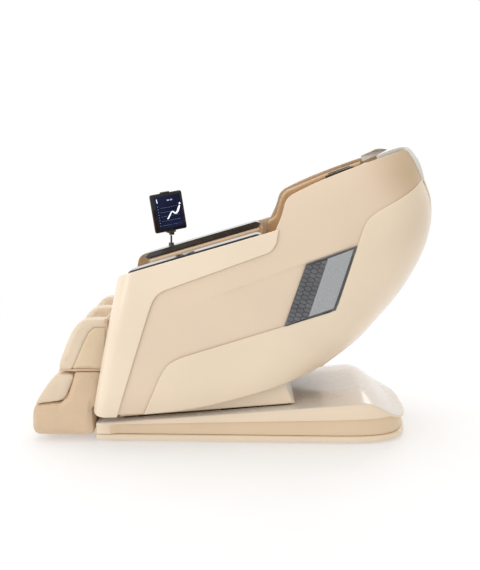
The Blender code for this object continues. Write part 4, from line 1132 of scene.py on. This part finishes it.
def tablet_pieces():
    case = prism(panel(-0.0745, 0.0745, -0.087, 0.087, 0.008), -0.0052, 0.006, 0.0022, 3)
    piece("tablet_body", on_tablet(smoothed(case, 40)), BLACK, "tablet", "plastic_black",
          "tablet_case")
    glass = prism(panel(-0.070, 0.070, -0.0825, 0.0825, 0.003), -0.0068, -0.0053, 0.0004, 2)
    piece("tablet_glass", on_tablet(smoothed(glass, 40)), GLASS, "tablet", "screen_glass",
          "tablet_screen")
    lit_area = prism(panel(-0.0565, 0.0640, -0.0725, 0.0740, 0.002), -0.00695, -0.0067)
    piece("tablet_display", on_tablet(lit_area), SCREEN, "tablet", "screen_glass",
          "tablet_screen")
    holder = prism(panel(-0.022, 0.022, -0.094, 0.092, 0.003), 0.0064, 0.0120, 0.0015, 3)
    clips = [block((-0.020, -0.010, -0.0945), (0.020, 0.0110, -0.0876), 0.0014),
             block((-0.016, -0.010, 0.0876), (0.016, 0.0110, 0.0930), 0.0014),
             block((-0.010, -0.002, -0.0990), (0.010, 0.0090, -0.0915), 0.0015)]
    holder = smoothed(joined(holder, *clips), 40)
    piece("tablet_bracket", on_tablet(holder), GLOSS_BLACK, "tablet", "gloss_black",
          "tablet_holder")
    along = Vector((math.cos(TABLET_TURN), math.sin(TABLET_TURN), 0.0)) * 0.011
    barrel = bar(TABLET_HINGE - along, TABLET_HINGE + along, 0.0100, 28)
    piece("tablet_hinge", bevelled(barrel, 0.0012, 3), GLOSS_BLACK, "tablet", "gloss_black",
          "tablet_holder")

    x, y = POST_PLACE
    rosette = bar((x, y, arm_line(x) - 0.004), (x, y, arm_line(x) + 0.0140), 0.0125, 32)
    piece("post_rosette", bevelled(rosette, 0.0035, 4), GLOSS_BLACK, "seat_body", "gloss_black")

    figure = stroke([(-0.010, -0.031), (-0.004, -0.026), (0.012, -0.004), (0.019, -0.001),
                     (0.027, -0.009), (0.035, -0.011), (0.043, -0.003), (0.051, 0.012),
                     (0.056, 0.022)],
                    [0.005, 0.006, 0.0055, 0.0055, 0.007, 0.008, 0.009, 0.009, 0.005])
    marks = [(figure, ICON), (disc((0.0575, 0.0300), 0.0042), ICON),
             (disc((-0.047, 0.062), 0.0024), ICON),
             (stroke([(-0.047, 0.058), (-0.046, 0.046)], [0.004, 0.003]), ICON),
             (stroke([(0.000, 0.053), (0.011, 0.053)], [0.006, 0.006]), FAINT),
             (stroke([(0.015, 0.053), (0.026, 0.053)], [0.006, 0.006]), FAINT)]
    marks += [(disc((-0.047, 0.030 - 0.0125 * k), 0.0015), FAINT) for k in range(8)]
    marks += [(stroke([(-0.038, 0.022 - 0.020 * k), (0.052, 0.022 - 0.020 * k)],
                      [0.0004, 0.0004]), FAINT) for k in range(5)]
    for index, (outline, paint) in enumerate(marks):
        piece("screen_mark_%d" % index, chip(outline), paint, "tablet", "screen_glass",
              "tablet_screen")


base_pieces()
for side_name, side_sign in SIDES:
    arm_pieces(side_name, side_sign)
tablet_pieces()


# ---------------------------------------------------------------- pieces kept from the CAD
KEPT = (
    # The two frames take the warm brown in place of their black powder coat: painted shade in the
    # gaps.
    (FRAME_GAP_SHADE, 0.0015, ("chassis_frame", "seat_frame")),
    (POWDER, 0.0015, ("massage_carriage", "recline_motor", "leg_motor")),
    (STEEL, 0.0010, ("tilt_shaft", "leg_shaft", "wheel_axle", "recline_rod", "leg_rod",
                     "track_left", "track_right", "kneading_shaft", "foot_roller")),
    (BLACK, 0.0015, ("control_box", "air_pump", "power_inlet", "power_switch")),
    (RUBBER, 0.0025, ("foot_front_left", "foot_front_right", "foot_rear_left",
                      "foot_rear_right", "transport_wheel_left", "transport_wheel_right")),
    (GLOSS_BLACK, 0.0008, ("tablet_post",)),
    (SHOE_TAN, 0.0015, ("calf_shell",)))


def finish_kept_pieces():
    """Weld and round the CAD pieces that stay, and paint them."""
    for paint, width, names in KEPT:
        for name in names:
            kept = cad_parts[name]
            kept.data.materials.clear()
            kept.data.materials.append(paint)
            weld = kept.modifiers.new("weld", "WELD")
            weld.merge_threshold = 1e-5
            rounding = kept.modifiers.new("rounding", "BEVEL")
            rounding.width = width
            rounding.segments = 3
            rounding.limit_method = "ANGLE"
            rounding.angle_limit = math.radians(35)
            rounding.use_clamp_overlap = True
            rounding.harden_normals = False


finish_kept_pieces()


# ---------------------------------------------------------------- upholstery
FRAMES = 20
CUSHIONS = {}
LEATHER_CLOTH = {"quality": 4, "mass": 0.3, "tension_stiffness": 25.0,
                 "compression_stiffness": 25.0, "shear_stiffness": 10.0,
                 "bending_stiffness": 0.6, "air_damping": 4.0, "use_pressure": True}


def stuffed(key, mesh, cap, voxel=0.0055, pressure=4.0):
    """Sets a cushion up to be blown up; it may swell by at most cap."""
    work = applied(mesh, ("REMESH", {"mode": "VOXEL", "voxel_size": voxel}))
    holder = bpy.data.objects.new("stuffed_" + key, work)
    SCENE.collection.objects.link(holder)
    cloth = holder.modifiers.new("cloth", "CLOTH")
    for setting, value in LEATHER_CLOTH.items():
        setattr(cloth.settings, setting, value)
    cloth.settings.uniform_pressure_force = pressure
    cloth.settings.effector_weights.gravity = 0.0
    cloth.collision_settings.use_collision = False
    cloth.point_cache.frame_start = 1
    cloth.point_cache.frame_end = FRAMES
    CUSHIONS[key] = (holder, cap)


def blow_up():
    """Runs the cloth for every cushion and keeps the swollen meshes."""
    for number in range(1, FRAMES + 1):
        SCENE.frame_set(number)
    graph = bpy.context.evaluated_depsgraph_get()
    for key, (holder, cap) in list(CUSHIONS.items()):
        start = coordinates(holder.data)
        normals = vertex_normals(holder.data)
        moved = coordinates(holder.evaluated_get(graph).data) - start
        length = np.linalg.norm(moved, axis=1)
        moved *= (np.minimum(length, cap) / np.maximum(length, 1e-9))[:, None]
        mesh = holder.data.copy()
        set_coordinates(mesh, start + moved)
        bpy.data.objects.remove(holder, do_unlink=True)
        mesh = applied(mesh, ("SMOOTH", {"factor": 0.5, "iterations": 3}),
                       ("SUBSURF", {"levels": 1, "render_levels": 1}))
        mesh.shade_smooth()
        CUSHIONS[key] = mesh
    SCENE.frame_set(1)


def pressed(mesh, distance, width=0.005, depth=0.004):
    """Presses a seam into a cushion wherever a surface passes close to the seam's plane."""
    points = coordinates(mesh)
    near = np.exp(-(distance / width) ** 2)
    set_coordinates(mesh, points - vertex_normals(mesh) * (depth * near)[:, None])
    found = mesh.attributes.get("seam")
    marks = np.zeros(len(points), np.float32)
    if found:
        found.data.foreach_get("value", marks)
    line = np.exp(-(distance / (0.45 * width)) ** 2)
    set_attribute(mesh, "seam", np.maximum(marks, line))


def held(mesh, low, high):
    """Keeps a cushion inside its room."""
    set_coordinates(mesh, np.clip(coordinates(mesh), low, high))


def inside(points, outline):
    """Signed distance of (x, z) points from a closed outline: positive inside."""
    outline = np.array(outline)
    ring = np.vstack([outline, outline[:1]])
    distance = line_distance(points, ring)
    odd = np.zeros(len(points), bool)
    for (ax, az), (bx, bz) in zip(ring[:-1], ring[1:]):
        spans = (az > points[:, 1]) != (bz > points[:, 1])
        cross = ax + (points[:, 1] - az) * (bx - ax) / (bz - az if bz != az else 1e-9)
        odd ^= spans & (points[:, 0] < cross)
    return np.where(odd, distance, -distance)


# The seat.
SEAT = [(-0.345, 0.380, 0.015), (-0.345, 0.435, 0.025), (-0.322, 0.449, 0.025),
        (0.078, 0.346, 0.020), (0.095, 0.328, 0.015), (0.084, 0.276, 0.015)]
BUCKET = ((-0.135, 0.000), (-0.075, 0.000), (-0.030, 0.010), (0.080, 0.026), (0.240, 0.030),
          (0.400, 0.030), (0.540, 0.028), (0.640, 0.026), (0.720, 0.022))
SEAT_SEAM = 0.150            # the seams that run along the seat and the back, in |Y|
BACK_SEAM = 0.168
BUCKET_DEPTH = 0.0590
WING_ROOM = 0.050
FACE_DROP = 0.006            # how far the back starts behind its finished face


def bucket_ring(up, forward):
    """The back cushion's section at a height: flat in the middle, curving forward at the sides."""
    width = 0.307 if up > -0.05 else 0.232
    for out in (-forward, 0.0, BUCKET_DEPTH):
        x, z = back_point(up, out)
        width = min(width, width_at(x, z) - WING_ROOM)
    side = [(0.170, 0.0), (0.5 * (0.170 + width), -0.35 * forward), (width - 0.012, -forward),
            (width, 0.012 - forward), (width, 0.030), (width - 0.015, BUCKET_DEPTH)]
    half = [(0.0, 0.0)] + side + [(0.0, BUCKET_DEPTH)]
    ring = half + [(-y, out) for y, out in side[::-1]]
    places = [(back_point(up, out + FACE_DROP if out < 0.03 else out), y) for y, out in ring]
    return [(x, y, z) for (x, z), y in places]


PILLOW = [(0.459, 0.880, 0.02), (0.565, 1.050, 0.02), (0.580, 1.096, 0.005),
          (0.574, 1.104, 0.004), (0.530, 1.074, 0.02), (0.422, 0.904, 0.02)]
WALL = [(-0.4775, 0.2915, 0.004), (-0.4775, 0.499, 0.010), (-0.572, 0.4995, 0.05),
        (-0.614, 0.473, 0.06), (-0.677, 0.333, 0.03), (-0.685, 0.2915, 0.010)]
DIVIDER = [(-0.5015, 0.2915, 0.004), (-0.5015, 0.499, 0.010)] + WALL[2:]
CALF = [(-0.5005, 0.3010, 0.004), (-0.5005, 0.472, 0.01), (-0.512, 0.472, 0.015),
        (-0.566, 0.340, 0.03), (-0.580, 0.3010, 0.01)]
SHOE = [(-0.5525, 0.0275, 0.010), (-0.5525, 0.1450, 0.006), (-0.5120, 0.1600, 0.008),
        (-0.5120, 0.2855, 0.006), (-0.6190, 0.2855, 0.008),
        (-0.6250, 0.2580, 0.020), (-0.6620, 0.1620, 0.02), (-0.7860, 0.1460, 0.004),
        (-0.7945, 0.115, 0.02), (-0.7955, 0.043, 0.014), (-0.7830, 0.0275, 0.014)]
CUFF = [(-0.6290, 0.2560, 0.010), (-0.6245, 0.2755, 0.010), (-0.6900, 0.2795, 0.014),
        (-0.7235, 0.2440, 0.02), (-0.7615, 0.1880, 0.02), (-0.7840, 0.1530, 0.006),
        (-0.6670, 0.1680, 0.02)]
ROLLER_AXIS = (-0.69, 0.080)
GUIDE_TOP = Vector((-0.556, 0.259, 0.294))
SLIDE = Vector((-0.208, 0.0, -0.978))


def wells(floor):
    """The two foot wells, as cutters."""
    return [block((-0.86, low, floor), (-0.597, high, 0.34), 0.012, 3)
            for low, high in ((-0.231, -0.037), (0.037, 0.231))]


def guide_bores():
    """Room for the two guide rods that the foot unit slides on, as cutters."""
    tops = [Vector((GUIDE_TOP.x, sign * GUIDE_TOP.y, GUIDE_TOP.z)) for sign in (-1, 1)]
    return [bar(top - SLIDE * 0.02, top + SLIDE * 0.235, 0.0084) for top in tops]


def roller_grooves():
    """Room for the roller's shaft and its two drums, as cutters."""
    x, z = ROLLER_AXIS
    return [bar((x, -0.2385, z), (x, 0.2385, z), 0.0080),
            bar((x, -0.038, z), (x, -0.230, z), 0.0265, 32),
            bar((x, 0.038, z), (x, 0.230, z), 0.0265, 32)]


def set_up_cushions():
    stuffed("seat", prism(rounded(SEAT), -0.234, 0.234, 0.012), 0.018, 0.0065)
    stuffed("back", loft([bucket_ring(up, forward) for up, forward in BUCKET], True), 0.012,
            0.0065)
    stuffed("pillow", prism(rounded(PILLOW), -0.158, 0.158, 0.010), 0.014)
    for key, outline, low, high in (("wall", WALL, 0.232, 0.286),
                                    ("divider", DIVIDER, -0.032, 0.032)):
        stuffed(key, prism(rounded(outline), low, high, 0.010), 0.006, 0.0045, 3.0)
    stuffed("calf", prism(rounded(CALF), 0.042, 0.222, 0.008), 0.012, 0.005)
    rear_room = block((-0.5525, -0.205, 0.10), (-0.40, 0.205, 0.32), 0.004)
    stuffed("shoe", cut(prism(rounded(SHOE), -0.286, 0.286, 0.010), *wells(0.071), rear_room),
            0.005, 0.005, 2.0)
    stuffed("cuff", cut(prism(rounded(CUFF), -0.286, 0.286, 0.010), *wells(0.071)), 0.006,
            0.0045, 3.0)


def leg_pair(name, mesh, paint, slot, fill, node):
    """A leg-rest cushion on the sitter's right and its mirror image on the left."""
    for side, half in (("right", mesh), ("left", mirrored(mesh))):
        cushion(name + side, half, paint, "leg_rest", slot, fill, node + side)


def upholstery():
    set_up_cushions()
    blow_up()

    seat = CUSHIONS["seat"]
    held(seat, (-0.3525, -0.2445, 0.262), (0.110, 0.2445, 0.470))
    y = coordinates(seat)[:, 1]
    far = np.where(vertex_normals(seat)[:, 2] > 0.1, 0.0, 1.0)
    pressed(seat, np.abs(np.abs(y) - SEAT_SEAM) + far, 0.006, 0.007)
    x, y, _ = coordinates(seat).T
    pressed(seat, np.abs(x + 0.215 + 0.06 * y * y) + np.where(np.abs(y) < SEAT_SEAM, far, 1.0),
            0.006, 0.007)
    cushion("seat_pad", seat, TAN, "seat_body", "leather_tan", 0.9, "seat_cushion")

    back = CUSHIONS["back"]
    points = coordinates(back)
    up = (points[:, [0, 2]] - np.array(BACK_FOOT.xz)) @ np.array(BACK_UP.xz)
    y = np.abs(points[:, 1])
    far = np.where(vertex_normals(back) @ np.array(BACK_OUT) < -0.2, 0.0, 1.0)
    pressed(back, np.abs(y - BACK_SEAM) + far, 0.006, 0.008)
    pressed(back, np.abs(y - 0.055) + far + (up > 0.50), 0.006, 0.005)
    for height in (0.16, 0.36):
        pressed(back, np.abs(up - height) + far + (y > BACK_SEAM), 0.006, 0.006)
    cushion("back_pad", back, TAN, "seat_body", "leather_tan", 0.9, "back_cushion")

    pillow = CUSHIONS["pillow"]
    held(pillow, (0.405, -0.1655, 0.86), (0.600, 0.1655, 1.125))
    y = coordinates(pillow)[:, 1]
    pressed(pillow, np.abs(np.abs(y) - 0.085), 0.005, 0.005)
    cushion("neck_pillow", pillow, PALE, "pillow", "leather_pale", 1.0, "head_pillow")
    leg_upholstery()


INSERT = [(-0.440, 0.466), (-0.537, 0.466), (-0.560, 0.446), (-0.581, 0.407), (-0.627, 0.303),
          (-0.640, 0.250), (-0.440, 0.250)]


def leg_upholstery():
    wall = CUSHIONS["wall"]
    held(wall, (-0.6935, 0.2285, 0.2890), (-0.4735, 0.2905, 0.5045))
    tan = inside(coordinates(wall)[:, [0, 2]], INSERT)
    set_attribute(wall, "pale", np.clip(0.5 - tan / 0.006, 0, 1))
    pressed(wall, np.abs(tan), 0.0045, 0.0035)
    leg_pair("calf_side_", wall, TWO_TONE, "leather_tan", 0.9, "calf_wall_")

    divider = CUSHIONS["divider"]
    held(divider, (-0.6935, -0.0363, 0.2890), (-0.4975, 0.0363, 0.5045))
    set_attribute(divider, "pale", np.ones(len(divider.vertices)))
    cushion("calf_middle", divider, TWO_TONE, "leg_rest", "leather_tan", 0.9, "calf_divider")

    calf = CUSHIONS["calf"]
    held(calf, (-0.600, 0.0368, 0.2983), (-0.4977, 0.2277, 0.486))
    z = coordinates(calf)[:, 2]
    pressed(calf, np.abs(z - 0.392), 0.005, 0.004)
    leg_pair("calf_cushion_", calf, PALE, "leather_pale", 0.8, "calf_pad_")

    shoe = CUSHIONS["shoe"]
    held(shoe, (-0.8005, -0.2905, 0.0238), (-0.5085, 0.2905, 0.2875))
    shoe = cut(shoe, *guide_bores(), *roller_grooves())
    shoe.shade_smooth()
    cushion("foot_base", shoe, SHOE_TAN, "foot_unit", "leather_tan", 0.9, "foot_shell")

    cuff = CUSHIONS["cuff"]
    held(cuff, (-0.795, -0.2905, 0.140), (-0.6205, 0.2905, 0.2840))
    cushion("foot_collar", cuff, SHOE_PALE, "foot_unit", "leather_pale", 0.9, "foot_cuff")


def knee_flap():
    """The leather that covers the gap over the leg rest's hinge."""
    line = smooth_line([(-0.349, 0.428), (-0.372, 0.446), (-0.410, 0.468), (-0.450, 0.487),
                        (-0.488, 0.5035)], 6)
    y = np.linspace(-0.222, 0.222, 48)
    grid = np.array([[(px, value, pz) for value in y] for px, pz in line])
    sag = np.sin(np.linspace(0, math.pi, len(line)))[:, None]
    grid[..., 2] -= 0.004 * sag * np.cos(y * 60.0)[None, :] ** 2
    flap = shell(grid, (0.0, 0.0, 1.0), wall=0.004, radius=0.004)
    made = cushion("knee_flap", flap, TAN, None, "leather_tan", 0.3)
    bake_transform(made)


def seat_apron():
    """The leather that closes the gap between the seat and the back."""
    line = smooth_line([(0.070, 0.262), (0.098, 0.256), (0.128, 0.272), (0.150, 0.302),
                        (0.168, 0.340)], 5)
    grid = np.array([[(px, value, pz) for value in np.linspace(-0.232, 0.232, 24)]
                     for px, pz in line])
    apron = shell(grid, (-0.5, 0.0, 1.0), wall=0.003, radius=0.002)
    cushion("seat_apron", apron, TAN, "seat_body", "leather_tan", 0.2)


upholstery()
knee_flap()
seat_apron()


# ---------------------------------------------------------------- floor, light and camera
def floor_paint():
    """Pale floor that fades out into the backdrop."""
    floor = Finish("floor_paint", 0.55)
    length = floor.node("VectorMath")
    length.operation = "LENGTH"
    fade = floor.node("MapRange", From_Min=0.9, From_Max=3.4, To_Min=0.35)
    fade.interpolation_type = "SMOOTHSTEP"
    glow = floor.node("Emission", Color=(*grey(1.0), 1.0), Strength=1.0)
    join = floor.node("MixShader")
    floor.coloured(floor.ramp(floor.noise(3.0, 6.0), 0.3, grey(0.93), 0.7, grey(0.95)))
    for source, target in (
            (floor.node("NewGeometry").outputs["Position"], length.inputs[0]),
            (length.outputs["Value"], fade.inputs["Value"]),
            (fade.outputs["Result"], join.inputs["Fac"]),
            (floor.surface.outputs["BSDF"], join.inputs[1]),
            (glow.outputs["Emission"], join.inputs[2]),
            (join.outputs["Shader"], floor.nodes["Material Output"].inputs["Surface"])):
        floor.links.new(source, target)
    return floor.owner


def light(name, place, target, size, power, tint=(1.0, 1.0, 1.0)):
    lamp = bpy.data.lights.new(name, "AREA")
    lamp.shape = "RECTANGLE"
    lamp.size, lamp.size_y = size
    lamp.energy = power
    lamp.color = tint
    made = bpy.data.objects.new(name, lamp)
    made.location = place
    made.rotation_euler = (Vector(target) - Vector(place)).to_track_quat("-Z", "Y").to_euler()
    SCENE.collection.objects.link(made)


DIM_SIDE = (0.80, -0.60, 0.05)   # the studio is darker on this side
CAMERA_PLACE = (0.0645, -3.40, 1.133)
CAMERA_TURN = (90 - 9.1, 0.0, 0.6)   # degrees: 9.1 down from level, 0.6 to the left
CAMERA_LENS = 51.5               # mm, on a 36 mm wide sensor


def studio():
    bm = bmesh.new()
    bmesh.ops.create_circle(bm, cap_ends=True, segments=96, radius=3.8)
    bmesh.ops.translate(bm, vec=(0, 0, -0.0005), verts=bm.verts)
    mesh = bpy.data.meshes.new("floor")
    bm.to_mesh(mesh)
    bm.free()
    mesh.materials.append(floor_paint())
    floor = bpy.data.objects.new("floor", mesh)
    SCENE.collection.objects.link(floor)

    world = Tree(bpy.data.worlds.new("studio"))
    slope = world.node("VectorMath")
    slope.operation = "DOT_PRODUCT"
    slope.inputs[1].default_value = DIM_SIDE
    world.links.new(world.node("TexCoord").outputs["Generated"], slope.inputs[0])
    tint = world.ramp(slope.outputs["Value"], 0.0, grey(1.0), 0.9, (0.64, 0.62, 0.59))
    world.links.new(tint, world.nodes["Background"].inputs["Color"])
    SCENE.world = world.owner
    middle = (0.0, 0.0, 0.5)
    light("top_light", (0.0, 0.3, 3.2), middle, (3.0, 2.4), 27.0)
    light("key_light", (-2.6, -2.4, 1.6), middle, (1.6, 1.6), 16.0)
    light("rim_light", (1.6, 2.6, 2.2), middle, (1.4, 1.4), 12.0)

    lens = bpy.data.cameras.new("camera")
    lens.lens = CAMERA_LENS
    lens.sensor_width = 36.0
    camera = bpy.data.objects.new("camera", lens)
    camera.location = CAMERA_PLACE
    camera.rotation_euler = [math.radians(angle) for angle in CAMERA_TURN]
    SCENE.collection.objects.link(camera)
    SCENE.camera = camera
    SCENE.view_settings.view_transform = "Standard"
    SCENE.view_settings.look = "None"


studio()
